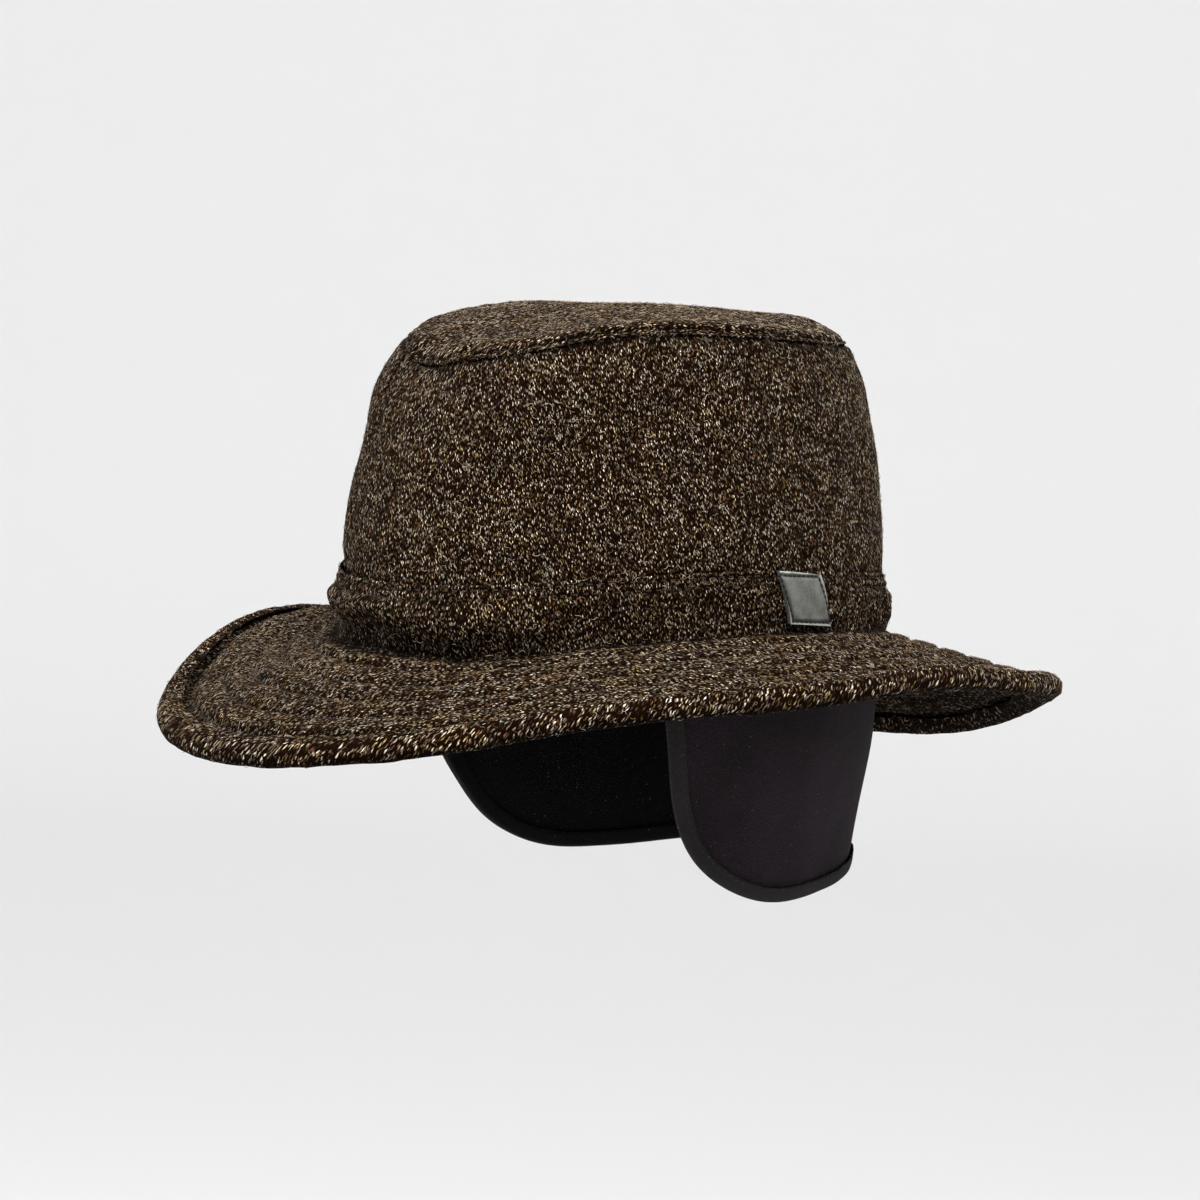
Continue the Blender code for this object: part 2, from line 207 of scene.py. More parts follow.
def soft_noise(places, seed):
    """Smooth noise from -1 to 1 at an array of places, one feature to each unit."""
    shift = Vector((seed * 3.7, seed * 1.3, seed * 2.1))
    return np.array([noise.noise(Vector(place) + shift) for place in places])

# %% [markdown]
# ## Heights and reaches that change round the hat
#
# The crown's foot dips at the front and back, the seam above it waves, and the brim is
# wider in one place than in another. These could be typed in again as a table. They are
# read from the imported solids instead, so that every seam lands on its real line.

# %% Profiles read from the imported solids
BRIM_CLOTH_THICKNESS = 0.003


def round_profile(node, measure):
    """A function of the angle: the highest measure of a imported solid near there."""
    points = points_of(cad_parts[node].data)
    angle, far = round_place(points)
    value = measure(points, far)
    piece_slice = np.rint(angle / FULL_TURN * STATIONS).astype(int) % STATIONS
    best = []
    for index in range(STATIONS):
        here = np.flatnonzero(piece_slice == index)
        if len(here):
            best.append(here[np.argmax(value[here])])
    low, high = value[best].min() * 1000, value[best].max() * 1000
    print(f"{node}: {low:.1f} to {high:.1f} mm")
    return lambda asked: np.interp(asked, angle[best], value[best], period=FULL_TURN)


def how_high(points, far):
    return points[:, 2]


def how_far(points, far):
    return far


SEAM_LINE = round_profile("crown_side", how_high)
FOOT_LINE = round_profile("crown_side", lambda points, far: -points[:, 2] - BRIM_CLOTH_THICKNESS)
BAND_TOP = round_profile("hat_band", how_high)
BRIM_REACH = round_profile("brim", how_far)
HEM_REACH = round_profile("brim_binding", how_far)
WELT_REACH = round_profile("crown_tip", how_far)

# %% [markdown]
# ## Pressing and puckering
#
# A stitch line pulls cloth in, and the cloth beside it puckers. Sculpting would do it, but
# not twice in the same way. So each line is a dip, a bell-shaped amount that depends on the
# distance to the line, and the pucker is a ripple along it. All of them move points along
# their normals.

# %% Dips, ripples and folds
UP = np.array([0.0, 0.0, 1.0])


def bell(distance, width):
    return np.exp(-((distance / width) ** 2))


def folds(run, height, seed, long, tall):
    """Soft folds, each about long by tall."""
    places = np.stack([run / long, height / tall, np.zeros_like(run)], axis=1)
    return soft_noise(places, seed)


def ripple(run, seed, length):
    """Uneven waves along a seam, about one every length."""
    return folds(run * 2.0, np.zeros_like(run), seed, length, 1.0)


def round_folds(angle, height, seed, long, tall):
    """Folds that close on themselves, because the way round is two places on a circle."""
    east, north = (HEAD_ROUND / FULL_TURN * turn(angle) for turn in (np.sin, np.cos))
    return soft_noise(np.stack([east / long, north / long, height / tall], axis=1), seed)


def fold_table(angle, height, rows, free):
    """Folds in metres: seed, how long, how tall, how deep, each by how free the cloth is."""
    return sum(deep * round_folds(angle, height, seed, long, tall) * free
               for seed, long, tall, deep in rows)


def as_3d(flat):
    return np.concatenate([flat, np.zeros((len(flat), 1))], axis=1)


def lean_table(angle, share, rows):
    """Soft pushes in metres: angle, share, angle spread, share spread, push."""
    push = np.zeros_like(angle)
    for middle, height, across, up, amount in rows:
        turn = (np.degrees(angle) - middle + 180) % 360 - 180
        push += amount * bell(turn, across) * bell(share - height, up)
    return push


def facing(item, way):
    """How far each point's normal looks along a way, from 0 to 1."""
    return within((normals_of(item) * way).sum(axis=1) * 1.6)


def mark_painted_shade(item, amount):
    """Write painted shade for each point, mostly how deep in a seam or stitch line it lies, for the
    weave to darken; values below 0 paint light.
    """
    write_value(item, "painted_shade", np.clip(amount, -0.7, 1.0))


print("a dip's depth 1 mm from a 1 mm wide line:", round(float(bell(0.001, 0.001)), 2))

# %% [markdown]
# ## A weave that follows the cloth
#
# A weave has to lie in the cloth's own plane and turn with it. Object coordinates would
# slice through the hat like a saw. So each piece gets a UV map, named weave, measured in
# metres along the cloth: round the head and up for a wall, flat for a panel cut flat.

# %% UV maps in metres
def loop_vertices(mesh):
    index = np.empty(len(mesh.loops), dtype=np.int32)
    mesh.loops.foreach_get("vertex_index", index)
    return index


def write_weave(mesh, across, along, turn):
    layer = mesh.uv_layers.new(name="weave")
    cos, sin = math.cos(turn), math.sin(turn)
    laid = np.stack([across * cos - along * sin, across * sin + along * cos], axis=-1)
    layer.data.foreach_set("uv", laid.astype(np.float32).ravel())


def weave_laid(item, flat, turn):
    """For a piece laid out flat, with a place for each vertex."""
    flat = flat[loop_vertices(item.data)]
    write_weave(item.data, flat[:, 0], flat[:, 1], turn)


def weave_round(item, turn, along):
    """Round the head by along, an array with each vertex's distance up or out."""
    mesh = item.data
    _, angle, _ = placed(item)
    middle, _ = round_place(vectors_of(mesh.polygons, "center"))
    corners = np.empty(len(mesh.polygons), dtype=np.int32)
    mesh.polygons.foreach_get("loop_total", corners)
    middle = np.repeat(middle, corners)
    index = loop_vertices(mesh)
    near = middle + (angle[index] - middle + math.pi) % FULL_TURN - math.pi
    write_weave(mesh, arc_length(near), along[index], turn)

# %% [markdown]
# ## Shader helpers
#
# A material here is a short program, so small helpers keep it readable. The first makes a
# node and fills its sockets with values or links, and the others each stand for one node.

# %% Node helpers
def add_node(tree, kind, inputs=None, **settings):
    made = tree.nodes.new(kind)
    for key, value in settings.items():
        setattr(made, key, value)
    for key, value in (inputs or {}).items():
        if isinstance(value, bpy.types.NodeSocket):
            tree.links.new(value, made.inputs[key])
        else:
            made.inputs[key].default_value = value
    return made


def sums(tree, operation, *terms, kind="ShaderNodeMath"):
    return add_node(tree, kind, dict(enumerate(terms)), operation=operation).outputs[0]


def times(tree, *terms):
    return sums(tree, "MULTIPLY", *terms)


def vector_sums(tree, operation, *terms):
    return sums(tree, operation, *terms, kind="ShaderNodeVectorMath")


def noise_at(tree, place, scale, detail, result="Fac"):
    inputs = {"Vector": place, "Scale": scale, "Detail": detail}
    return add_node(tree, "ShaderNodeTexNoise", inputs).outputs[result]


def mark_of(tree, name):
    return add_node(tree, "ShaderNodeAttribute", attribute_name=name).outputs["Fac"]


def weave_map(tree):
    return add_node(tree, "ShaderNodeUVMap", uv_map="weave").outputs[0]


def object_place(tree):
    return add_node(tree, "ShaderNodeTexCoord").outputs["Object"]


def mix_colours(tree, share, first, second, blend="MIX"):
    inputs = {0: share, 6: first, 7: second}
    return add_node(tree, "ShaderNodeMix", inputs, data_type="RGBA", blend_type=blend).outputs[2]


def ranged(tree, value, low, high, low_out=0.0, high_out=1.0):
    inputs = {0: value, 1: low, 2: high, 3: low_out, 4: high_out}
    return add_node(tree, "ShaderNodeMapRange", inputs, interpolation_type="SMOOTHSTEP").outputs[0]


def colour_steps(tree, value, steps, interpolation="CONSTANT"):
    ramp = add_node(tree, "ShaderNodeValToRGB", {0: value})
    ramp.color_ramp.interpolation = interpolation
    marks = ramp.color_ramp.elements
    for start, colour in steps[2:]:
        marks.new(start)
    for mark, (start, colour) in zip(marks, steps):
        mark.position = start
        mark.color = (*colour, 1.0)
    return ramp.outputs[0]


def start_material(name):
    material = bpy.data.materials.new(name)
    material.use_nodes = True
    return material, material.node_tree, material.node_tree.nodes["Principled BSDF"]


def set_surface(tree, shader, colour, bump, settings):
    """Link a colour and a bump, its strength, depth and height, and set the plain values."""
    tree.links.new(colour, shader.inputs["Base Color"])
    if bump:
        inputs = dict(zip(("Strength", "Distance", "Height"), bump))
        bumped = add_node(tree, "ShaderNodeBump", inputs).outputs[0]
        tree.links.new(bumped, shader.inputs["Normal"])
    for key, value in settings.items():
        shader.inputs[key].default_value = value

# %% [markdown]
# ## The tweed
#
# Tweed is a twill of thick, hairy yarns. Each yarn comes up for a short float, a fleck
# under 1.5 mm long, and the flecks step along in slanting rows. Most are taupe and cream
# on a ground that is nearly black, and a few are ochre, rust, moss or plum. A photograph of
# cloth would look right from one place only. Cells of a Voronoi texture, drawn out along
# the yarn and slanted, give each fleck its own place, colour and rounded height.

# %% Tweed material
FLECK_WIDTH = 0.00058
FLECK_LENGTH = 0.00140
TWILL_SLANT = 0.55
YARN_WANDER = 0.0005
WANDER_SCALE = 800.0
FIBRES_ACROSS = 3600.0
FIBRES_ALONG = 1000.0
GROUND = (0.0050, 0.0014, 0.0002)
YARNS = (
    (0.0, (0.016, 0.008, 0.0035)),
    (0.16, (0.062, 0.035, 0.018)),
    (0.36, (0.18, 0.115, 0.066)),
    (0.55, (0.46, 0.35, 0.24)),
    (0.70, (1.0, 0.86, 0.67)),
    (0.90, (0.44, 0.32, 0.11)),
    (0.95, (0.30, 0.13, 0.065)),
    (0.968, (0.16, 0.165, 0.09)),
    (0.985, (0.14, 0.06, 0.08)),
)
OCHRE_CAST = (1.08, 0.96, 0.60, 1.0)
# How strongly the painted shade mark darkens the tweed.
PAINTED_SHADE_STRENGTH = 0.75
TWEED_DEPTH = 0.0009


def slanted_cells(tree, uv, width, length, randomness):
    """Fleck-shaped cells in slanting rows: distance to each one's middle, and its colour."""
    parts = add_node(tree, "ShaderNodeSeparateXYZ", {0: uv}).outputs
    across = sums(tree, "DIVIDE", parts[0], width)
    along = sums(tree, "MULTIPLY_ADD", across, TWILL_SLANT, sums(tree, "DIVIDE", parts[1], length))
    place = add_node(tree, "ShaderNodeCombineXYZ", {0: across, 1: along}).outputs[0]
    inputs = {"Vector": place, "Scale": 1.0, "Randomness": randomness}
    cells = add_node(tree, "ShaderNodeTexVoronoi", inputs, voronoi_dimensions="2D", feature="F1")
    return cells.outputs["Distance"], cells.outputs["Color"]


def loose_uv(tree, uv, amount, scale):
    """The weave map, with its threads pushed about a little."""
    wander = noise_at(tree, uv, scale, 2.0, "Color")
    shift = vector_sums(tree, "SUBTRACT", wander, (0.5, 0.5, 0.5))
    shift = vector_sums(tree, "MULTIPLY", shift, (amount * 2, amount * 2, 0.0))
    return vector_sums(tree, "ADD", uv, shift)


def tweed_material(name, tone, ochre):
    material, tree, shader = start_material(name)
    uv = weave_map(tree)
    loose = loose_uv(tree, uv, YARN_WANDER, WANDER_SCALE)
    distance, pick = slanted_cells(tree, loose, FLECK_WIDTH, FLECK_LENGTH, 0.85)
    fleck = ranged(tree, distance, 0.12, 0.43, 1.0, 0.0)
    picks = add_node(tree, "ShaderNodeSeparateColor", {0: pick}).outputs

    combed = vector_sums(tree, "MULTIPLY", loose, (FIBRES_ACROSS, FIBRES_ALONG, 1.0))
    hairs = noise_at(tree, combed, 1.0, 3.0)
    hair = ranged(tree, hairs, 0.34, 0.66, 0.2, 1.35)
    yarn = colour_steps(tree, picks[0], YARNS)
    zone_share = ranged(tree, noise_at(tree, uv, 60.0, 3.0), 0.48, 0.72, 0.0, ochre)
    yarn = mix_colours(tree, zone_share, yarn, OCHRE_CAST, "MULTIPLY")
    lit = times(tree, fleck, hair)
    lit = times(tree, lit, ranged(tree, picks[1], 0.0, 1.0, 0.35, 1.75))
    colour = mix_colours(tree, lit, (*GROUND, 1.0), yarn)
    cloudy = noise_at(tree, uv, 90.0, 2.0)
    shade = ranged(tree, cloudy, 0.3, 0.7, 0.75 * tone, 1.25 * tone)
    # Painted shade: the mark darkens the colour in seams, grooves, undersides and between pieces,
    # and below 0 it is painted light.
    painted_shade = sums(tree, "MULTIPLY_ADD", mark_of(tree, "painted_shade"), -PAINTED_SHADE_STRENGTH, 1.0)
    shade = times(tree, shade, painted_shade)
    shaded = add_node(tree, "ShaderNodeCombineColor", {0: shade, 1: shade, 2: shade}).outputs[0]
    colour = mix_colours(tree, 1.0, colour, shaded, "MULTIPLY")
    height = sums(tree, "MULTIPLY_ADD", hairs, 0.4, fleck)
    set_surface(tree, shader, colour, (0.9, TWEED_DEPTH, height), {
        "Roughness": 0.95, "Specular IOR Level": 0.02, "Sheen Weight": 0.01,
        "Sheen Roughness": 0.5, "Sheen Tint": (0.62, 0.5, 0.38, 1.0)})
    return material


CROWN_TWEED = tweed_material("crown_tweed", 1.0, 0.35)
TIP_TWEED = tweed_material("tip_tweed", 1.1, 0.6)
BAND_TWEED = tweed_material("band_tweed", 0.95, 0.45)
BRIM_TWEED = tweed_material("brim_tweed", 1.1, 0.7)
HEM_TWEED = tweed_material("hem_tweed", 1.0, 0.6)
print("tweed fleck:", FLECK_WIDTH * 1000, "by", FLECK_LENGTH * 1000, "mm")

# %% [markdown]
# ## Twill, tape and leather
#
# The ear warmer is a fine, tight, nearly black twill with an aubergine cast, and lint
# clings to it in tiny pale specks. Its edge tape is a plain weave, a shade greener. The
# patch on the band is grey leather, with a paler rim along its edge.

# %% Dark twill and tape materials
TWILL_PITCH = 0.0011
TWILL_DARK = (0.0020, 0.0011, 0.0015)
TWILL_LIGHT = (0.034, 0.0225, 0.0300)
TAPE_PITCH = 0.0007
TAPE_DARK = (0.0085, 0.0078, 0.0076)
TAPE_LIGHT = (0.026, 0.0245, 0.023)
INSIDE_DARKENING = 0.85
LINT = (0.16, 0.15, 0.16, 1.0)
LINT_CELL = 0.0016


def dark_weave_material(name, dark, light, pitch, lean):
    material, tree, shader = start_material(name)
    uv = weave_map(tree)
    parts = add_node(tree, "ShaderNodeSeparateXYZ", {0: uv}).outputs
    slant = sums(tree, "MULTIPLY_ADD", parts[1], lean, parts[0])
    sway = noise_at(tree, uv, 300.0, 1.0)
    slant = sums(tree, "MULTIPLY_ADD", sway, pitch * 0.6, slant)
    wale = sums(tree, "SINE", times(tree, slant, FULL_TURN / pitch))
    floats = sums(tree, "SINE", times(tree, parts[1], FULL_TURN / pitch * 1.6))
    weave = sums(tree, "MULTIPLY_ADD", floats, 0.35, wale)
    fuzz = noise_at(tree, uv, 1300.0, 2.0)
    weave = sums(tree, "MULTIPLY_ADD", fuzz, 3.6, weave)
    worn = ranged(tree, noise_at(tree, uv, 26.0, 3.0), 0.3, 0.7, 0.55, 1.1)
    share = times(tree, ranged(tree, weave, 0.7, 3.2), worn)
    colour = mix_colours(tree, share, (*dark, 1.0), (*light, 1.0))
    # Darkens towards black where the mark is set: on the flaps' inside faces, and as painted shade
    # on the flaps' tops under the brim.
    inside = times(tree, mark_of(tree, "painted_shade"), INSIDE_DARKENING)
    colour = mix_colours(tree, inside, colour, (0.0, 0.0, 0.0, 1.0))
    inputs = {"Vector": uv, "Scale": 1 / LINT_CELL}
    lint = add_node(tree, "ShaderNodeTexVoronoi", inputs, feature="F1").outputs
    chosen = add_node(tree, "ShaderNodeSeparateColor", {0: lint["Color"]}).outputs[0]
    speck = times(tree, sums(tree, "GREATER_THAN", chosen, 0.88),
                 ranged(tree, lint["Distance"], 0.06, 0.16, 0.8, 0.0))
    colour = mix_colours(tree, speck, colour, LINT)
    set_surface(tree, shader, colour, (0.6, pitch * 0.3, weave), {
        "Roughness": 0.85, "Specular IOR Level": 0.1, "Sheen Weight": 0.03,
        "Sheen Tint": (0.5, 0.42, 0.5, 1.0)})
    return material


TWILL = dark_weave_material("dark_twill", TWILL_DARK, TWILL_LIGHT, TWILL_PITCH, 1.0)
TAPE = dark_weave_material("edge_tape", TAPE_DARK, TAPE_LIGHT, TAPE_PITCH, 0.0)
print("twill wale every", TWILL_PITCH * 1000, "mm")

# %% Leather material
LEATHER_DARK = (0.038, 0.039, 0.034)
LEATHER_LIGHT = (0.140, 0.143, 0.126)
PALE_RIM = (0.42, 0.425, 0.385, 1.0)
PAINTED_STITCH_GROOVE = (0.012, 0.012, 0.011, 1.0)


def leather_material(name):
    material, tree, shader = start_material(name)
    place = object_place(tree)
    inputs = {"Vector": place, "Scale": 1500.0}
    grain = add_node(tree, "ShaderNodeTexVoronoi", inputs, feature="F1").outputs["Distance"]
    smudge = noise_at(tree, place, 260.0, 4.0)
    tone = sums(tree, "MULTIPLY_ADD", ranged(tree, grain, 0.0, 0.7), 0.25, smudge)
    colour = colour_steps(tree, tone, ((0.3, LEATHER_DARK), (0.85, LEATHER_LIGHT)), "LINEAR")
    rim_patches = ranged(tree, smudge, 0.25, 0.6, 0.35, 1.0)
    rim = times(tree, mark_of(tree, "rim"), rim_patches)
    colour = mix_colours(tree, rim, colour, PALE_RIM)
    # Painted shade in the stitch groove, from the mark set on the patch.
    colour = mix_colours(tree, mark_of(tree, "painted_shade"), colour, PAINTED_STITCH_GROOVE)
    set_surface(tree, shader, colour, (0.4, 0.0002, tone), {})
    tree.links.new(ranged(tree, smudge, 0.3, 0.7, 0.42, 0.6), shader.inputs["Roughness"])
    return material


LEATHER = leather_material("grey_leather")
print("leather made:", LEATHER.name)

# %% [markdown]
# ## Thread and loose wool
#
# Sewing thread is two strands twisted together, so its light runs in slanting stripes.
# Loose wool fibres are single hairs, and each has one colour, picked by a number that its
# instance carries.

# %% Thread and fibre materials
def thread_material(name, dark, light):
    material, tree, shader = start_material(name)
    strand = noise_at(tree, object_place(tree), 3500.0, 2.0)
    share = ranged(tree, strand, 0.35, 0.65)
    colour = mix_colours(tree, share, (*dark, 1.0), (*light, 1.0))
    set_surface(tree, shader, colour, (0.5, 0.0001, share),
                {"Roughness": 0.7, "Specular IOR Level": 0.25})
    return material


def wool_material(name):
    material, tree, shader = start_material(name)
    colour = colour_steps(tree, mark_of(tree, "tone"), FIBRE_COLOURS)
    set_surface(tree, shader, colour, None, {"Roughness": 0.8, "Specular IOR Level": 0.15})
    return material


FIBRE_COLOURS = (
    (0.0, (0.14, 0.085, 0.05)),
    (0.3, (0.30, 0.22, 0.15)),
    (0.6, (0.55, 0.45, 0.34)),
    (0.84, (0.34, 0.22, 0.06)),
    (0.92, (0.28, 0.10, 0.04)),
    (0.97, (0.12, 0.13, 0.07)),
)
BROWN_THREAD = thread_material("brown_thread", (0.012, 0.007, 0.004), (0.06, 0.038, 0.024))
BLACK_THREAD = thread_material("black_thread", (0.004, 0.004, 0.004), (0.022, 0.02, 0.019))
WOOL = wool_material("loose_wool")
print("fibre colours:", len(FIBRE_COLOURS))

# %% [markdown]
# ## The crown's side wall
#
# The wall is one strip of tweed. It was pulled over a round form, so it has soft hollows
# and swells, and it puckers a little under the seam and above the band. Cloth simulation
# suits a pad better than a firm wall like this, so the folds are noise that closes on
# itself round the hat. They move the outside and the inside together.

# %% Dress a piece, and shape the crown's side
PUCKER_LENGTH = 0.0075
PUCKER_FADE = 0.006
CROWN_FOLDS = ((3, 0.045, 0.034, 0.0010), (4, 0.017, 0.02, 0.0006))
SEAM_SHIFTS = (
    (152, 0.0, 28, 1.0, -0.0030),
    (325, 0.0, 26, 1.0, 0.0015),
    (352, 0.0, 17, 1.0, -0.0020),
)
CROWN_PUSHES = (
    (325, 0.86, 26, 0.13, 0.0018),
    (325, 0.5, 24, 0.2, 0.0005),
    (325, 0.2, 22, 0.09, -0.0021),
    (145, 0.45, 24, 0.2, 0.0001),
    (148, 0.88, 24, 0.09, 0.0012),
)


def dress(item, material, node):
    item.data.materials.clear()
    item.data.materials.append(material)
    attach(item, BODY)
    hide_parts(node)


def seam_shift(angle):
    """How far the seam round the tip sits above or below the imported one."""
    return lean_table(angle, np.zeros_like(angle), SEAM_SHIFTS)


def shape_crown(item):
    points, angle, _ = placed(item)
    way = as_3d(outward(angle))
    shows = facing(item, way)
    foot = FOOT_LINE(angle)
    height = points[:, 2] + foot
    wall = SEAM_LINE(angle) + foot
    share = within(height / wall)
    free = within(4 * share * (1 - share) * 1.5)
    move = fold_table(angle, height, CROWN_FOLDS, free)
    move += lean_table(angle, share, CROWN_PUSHES)
    below_seam = wall - height
    above_band = height - (BAND_TOP(angle) + foot)
    run = arc_length(angle)
    rucks = 0.0008 * ripple(run, 5, PUCKER_LENGTH) * np.exp(-np.abs(below_seam) / PUCKER_FADE)
    rucks += 0.0002 * bell(below_seam, 0.004)
    rucks += 0.0007 * ripple(run, 6, 0.011) * bell(above_band - 0.003, 0.009)
    move += shows * rucks
    moved = points + way * move[:, None]
    moved[:, 2] += seam_shift(angle) * bell(below_seam, 0.018)
    set_points(item, moved)
    # Painted shade: darker just under the seam to the tip and just above the band.
    mark_painted_shade(item, bell(below_seam, 0.0013) + 0.8 * bell(above_band + 0.001, 0.0016))
    return item


crown = shape_crown(smooth_copy("crown_side", "crown_side_cloth", 3))
weave_round(crown, 0.0, points_of(crown.data)[:, 2])
dress(crown, CROWN_TWEED, "crown_side")

# %% [markdown]
# ## The crown's tip
#
# The top panel is an oval cut flat and steamed into a dome. Its edge is turned down over
# the wall's and sewn twice, which leaves one line under its rim and another just inside
# the rim, with a small ridge between them. Both lines dip in and carry painted shade.

# %% Shape the crown's tip
WELT_INSET = 0.0028
RIM_HEIGHT = 0.0026
TIP_FADE = 0.02
TIP_PUSHES = (
    (145, 0.1, 26, 0.6, -0.0006),
    (130, 0.8, 30, 0.6, -0.0012),
    (322, 0.5, 24, 0.8, -0.0008),
)


def shape_tip(item):
    points, angle, far = placed(item)
    inside = WELT_REACH(angle) - far
    share = inside / TIP_FADE
    free = within(share)
    pushed = lean_table(angle, share, TIP_PUSHES)
    pucker = ripple(arc_length(angle), 5, PUCKER_LENGTH)
    move = -0.0011 * bell(inside - WELT_INSET, 0.0009) + 0.0005 * bell(inside - 0.0066, 0.0034)
    move += 0.0007 * pucker * np.exp(-np.abs(inside - WELT_INSET) / PUCKER_FADE)
    move += 0.0011 * folds(points[:, 0], points[:, 1], 8, 0.036, 0.042) * free
    move += 0.0004 * folds(points[:, 0], points[:, 1], 9, 0.014, 0.014) * free
    move += pushed
    moved = points + UP * (move * facing(item, UP))[:, None]
    moved[:, 2] += seam_shift(angle) * bell(inside, 0.012)
    inwards = 0.0008 * pucker - 0.0010 + pushed
    moved += as_3d(outward(angle)) * (inwards * bell(inside, 0.002))[:, None]
    set_points(item, moved)
    low = points[:, 2] - SEAM_LINE(angle)
    # Painted shade along the line under the rim and the line just inside it.
    mark_painted_shade(item, 1.4 * bell(inside - WELT_INSET, 0.0010) + bell(low, 0.0010))
    return item


def weave_panel(item, turn):
    """The panel as it was cut, with its turned-down rim opened out."""
    points, angle, _ = placed(item)
    low = points[:, 2] - SEAM_LINE(angle) - seam_shift(angle)
    opened = RIM_HEIGHT - np.clip(low, -RIM_HEIGHT, RIM_HEIGHT)
    weave_laid(item, points[:, :2] + outward(angle) * opened[:, None], turn)


tip = shape_tip(smooth_copy("crown_tip", "crown_tip_cloth", 3))
weave_panel(tip, 0.4)
dress(tip, TIP_TWEED, "crown_tip")
print("turned-down rim:", RIM_HEIGHT * 1000, "mm tall; second line", WELT_INSET * 1000, "mm in")

# %% [markdown]
# ## The padded band
#
# The band is a soft tube of tweed with wadding in it. It is sewn flat along its top edge
# by two rows of stitches and bulges below them. Cloth simulation is the natural way to
# fill a tube: air pressure swells it, cloth cut a little too long ruckles it, and pinned
# points hold its back and its stitch rows. The swell is capped so that the band stays
# within its place, and the stitch rows are pressed in afterwards.

# %% Swell the band by cloth simulation
BAND_ROWS = (0.0019, 0.0050)
BAND_PRESSURE = 4.0
BAND_SPARE_CLOTH = -0.07
BAND_FRAMES = 20
BAND_CAP = 0.0024
BAND_PUSHES = (
    (325, 0.85, 30, 0.25, -0.0024),
    (322, 0.62, 26, 0.22, -0.0024),
    (322, 0.22, 26, 0.15, -0.0010),
    (5, 0.38, 36, 0.22, 0.0018),
    (5, 0.88, 40, 0.2, -0.0020),
    (145, 0.6, 30, 0.5, -0.0012),
)
# Painted shade on the lower front of the band, in the same columns as the pushes.
BAND_SHADES = ((14, 0.78, 29, 0.26, 0.85),)
BAND_SEAT_DROP = 0.0012
ROW_SHADES = (1.1, 0.7)


def band_fields(item):
    """Distance below the band's top edge, the way out, and how far each point faces it."""
    points, angle, _ = placed(item)
    way = as_3d(outward(angle))
    return points, angle, BAND_TOP(angle) - points[:, 2], way, facing(item, way)


def pin_band(item):
    _, _, below, _, shows = band_fields(item)
    pins = item.vertex_groups.new(name="pins")
    held = within(1.15 - shows * 1.3)
    held = np.maximum(held, bell(np.maximum(below - BAND_ROWS[1], 0.0), 0.0012))
    for index, weight in enumerate(held):
        pins.add([index], float(weight), "REPLACE")
    return pins


def swell(item):
    before = points_of(item.data)
    cloth = item.modifiers.new("wadding", "CLOTH")
    settings = cloth.settings
    settings.vertex_group_mass = pin_band(item).name
    settings.use_pressure = True
    settings.uniform_pressure_force = BAND_PRESSURE
    settings.shrink_min = BAND_SPARE_CLOTH
    settings.effector_weights.gravity = 0.0
    settings.mass = 0.15
    cloth.point_cache.frame_start = 1
    cloth.point_cache.frame_end = BAND_FRAMES
    scene = bpy.context.scene
    for frame_number in range(1, BAND_FRAMES + 1):
        scene.frame_set(frame_number)
    bake_modifiers(item)
    scene.frame_set(1)
    item.vertex_groups.clear()
    shift = points_of(item.data) - before
    size = np.linalg.norm(shift, axis=1)
    room = np.minimum(1.0, BAND_CAP / np.maximum(size, 1e-9))
    set_points(item, before + shift * room[:, None])
    print(f"band swelled by up to {size.max() * 1000:.1f} mm, kept to {BAND_CAP * 1000:.1f} mm")


def press_band(item):
    points, angle, below, way, shows = band_fields(item)
    run = arc_length(angle)
    move = np.zeros(len(points))
    for row in BAND_ROWS:
        move -= 0.0007 * bell(below - row, 0.0009)
        move += 0.0003 * ripple(run, row * 1000, 0.006) * bell(below - row, 0.002)
    deep = within((below - BAND_ROWS[1]) / 0.003)
    move += 0.0009 * round_folds(angle, below, 11, 0.022, 0.018) * deep
    move += 0.0005 * round_folds(angle, below * 0.3, 12, 0.008, 0.01) * deep
    share = below / (BAND_TOP(angle) + FOOT_LINE(angle))
    move += lean_table(angle, share, BAND_PUSHES)
    moved = points + way * (move * shows)[:, None]
    moved[:, 2] -= BAND_SEAT_DROP * within((share - 0.7) / 0.3) * shows ** 0.5
    set_points(item, moved)
    # Painted shade in the stitch rows, painted light along the top edge and between the rows,
    # painted shade where the band sits on the brim and on its lower front.
    rows = sum(bell(below - row, 0.0009) * shade for row, shade in zip(BAND_ROWS, ROW_SHADES))
    painted_edge_highlight = -0.6 * bell(below - 0.0003, 0.0009) - 0.35 * bell(below - 0.0034, 0.0008)
    painted_seat_shade = 0.9 * within((share - 0.9) / 0.1)
    mark_painted_shade(item, rows + painted_edge_highlight + painted_seat_shade + lean_table(angle, share, BAND_SHADES))


band = smooth_copy("hat_band", "hat_band_cloth", 2)
swell(band)
round_off(band, 1)
press_band(band)
weave_round(band, 0.0, -band_fields(band)[2])
dress(band, BAND_TWEED, "hat_band")

# %% [markdown]
# ## The brim
#
# The brim is two layers of tweed, stitched together in rings about 11 mm apart.
# Between the rings it puffs, along them it puckers, and it sags as a whole in soft waves.
# Rings are a rule, so a formula shapes them on both faces.

# %% Shape the brim
BRIM_ROWS = 6
ROW_PUFF = 0.0005
ROW_DIP = 0.0008
HEM_INNER_SHARE = 0.893
HEM_GROOVE = 0.0022
STITCHED_SHARE = 0.9
UNDERSIDE_SHADE = 0.95
SEAM_TURN_UP = 0.0016
SEAM_TURN_WIDTH = 0.0028

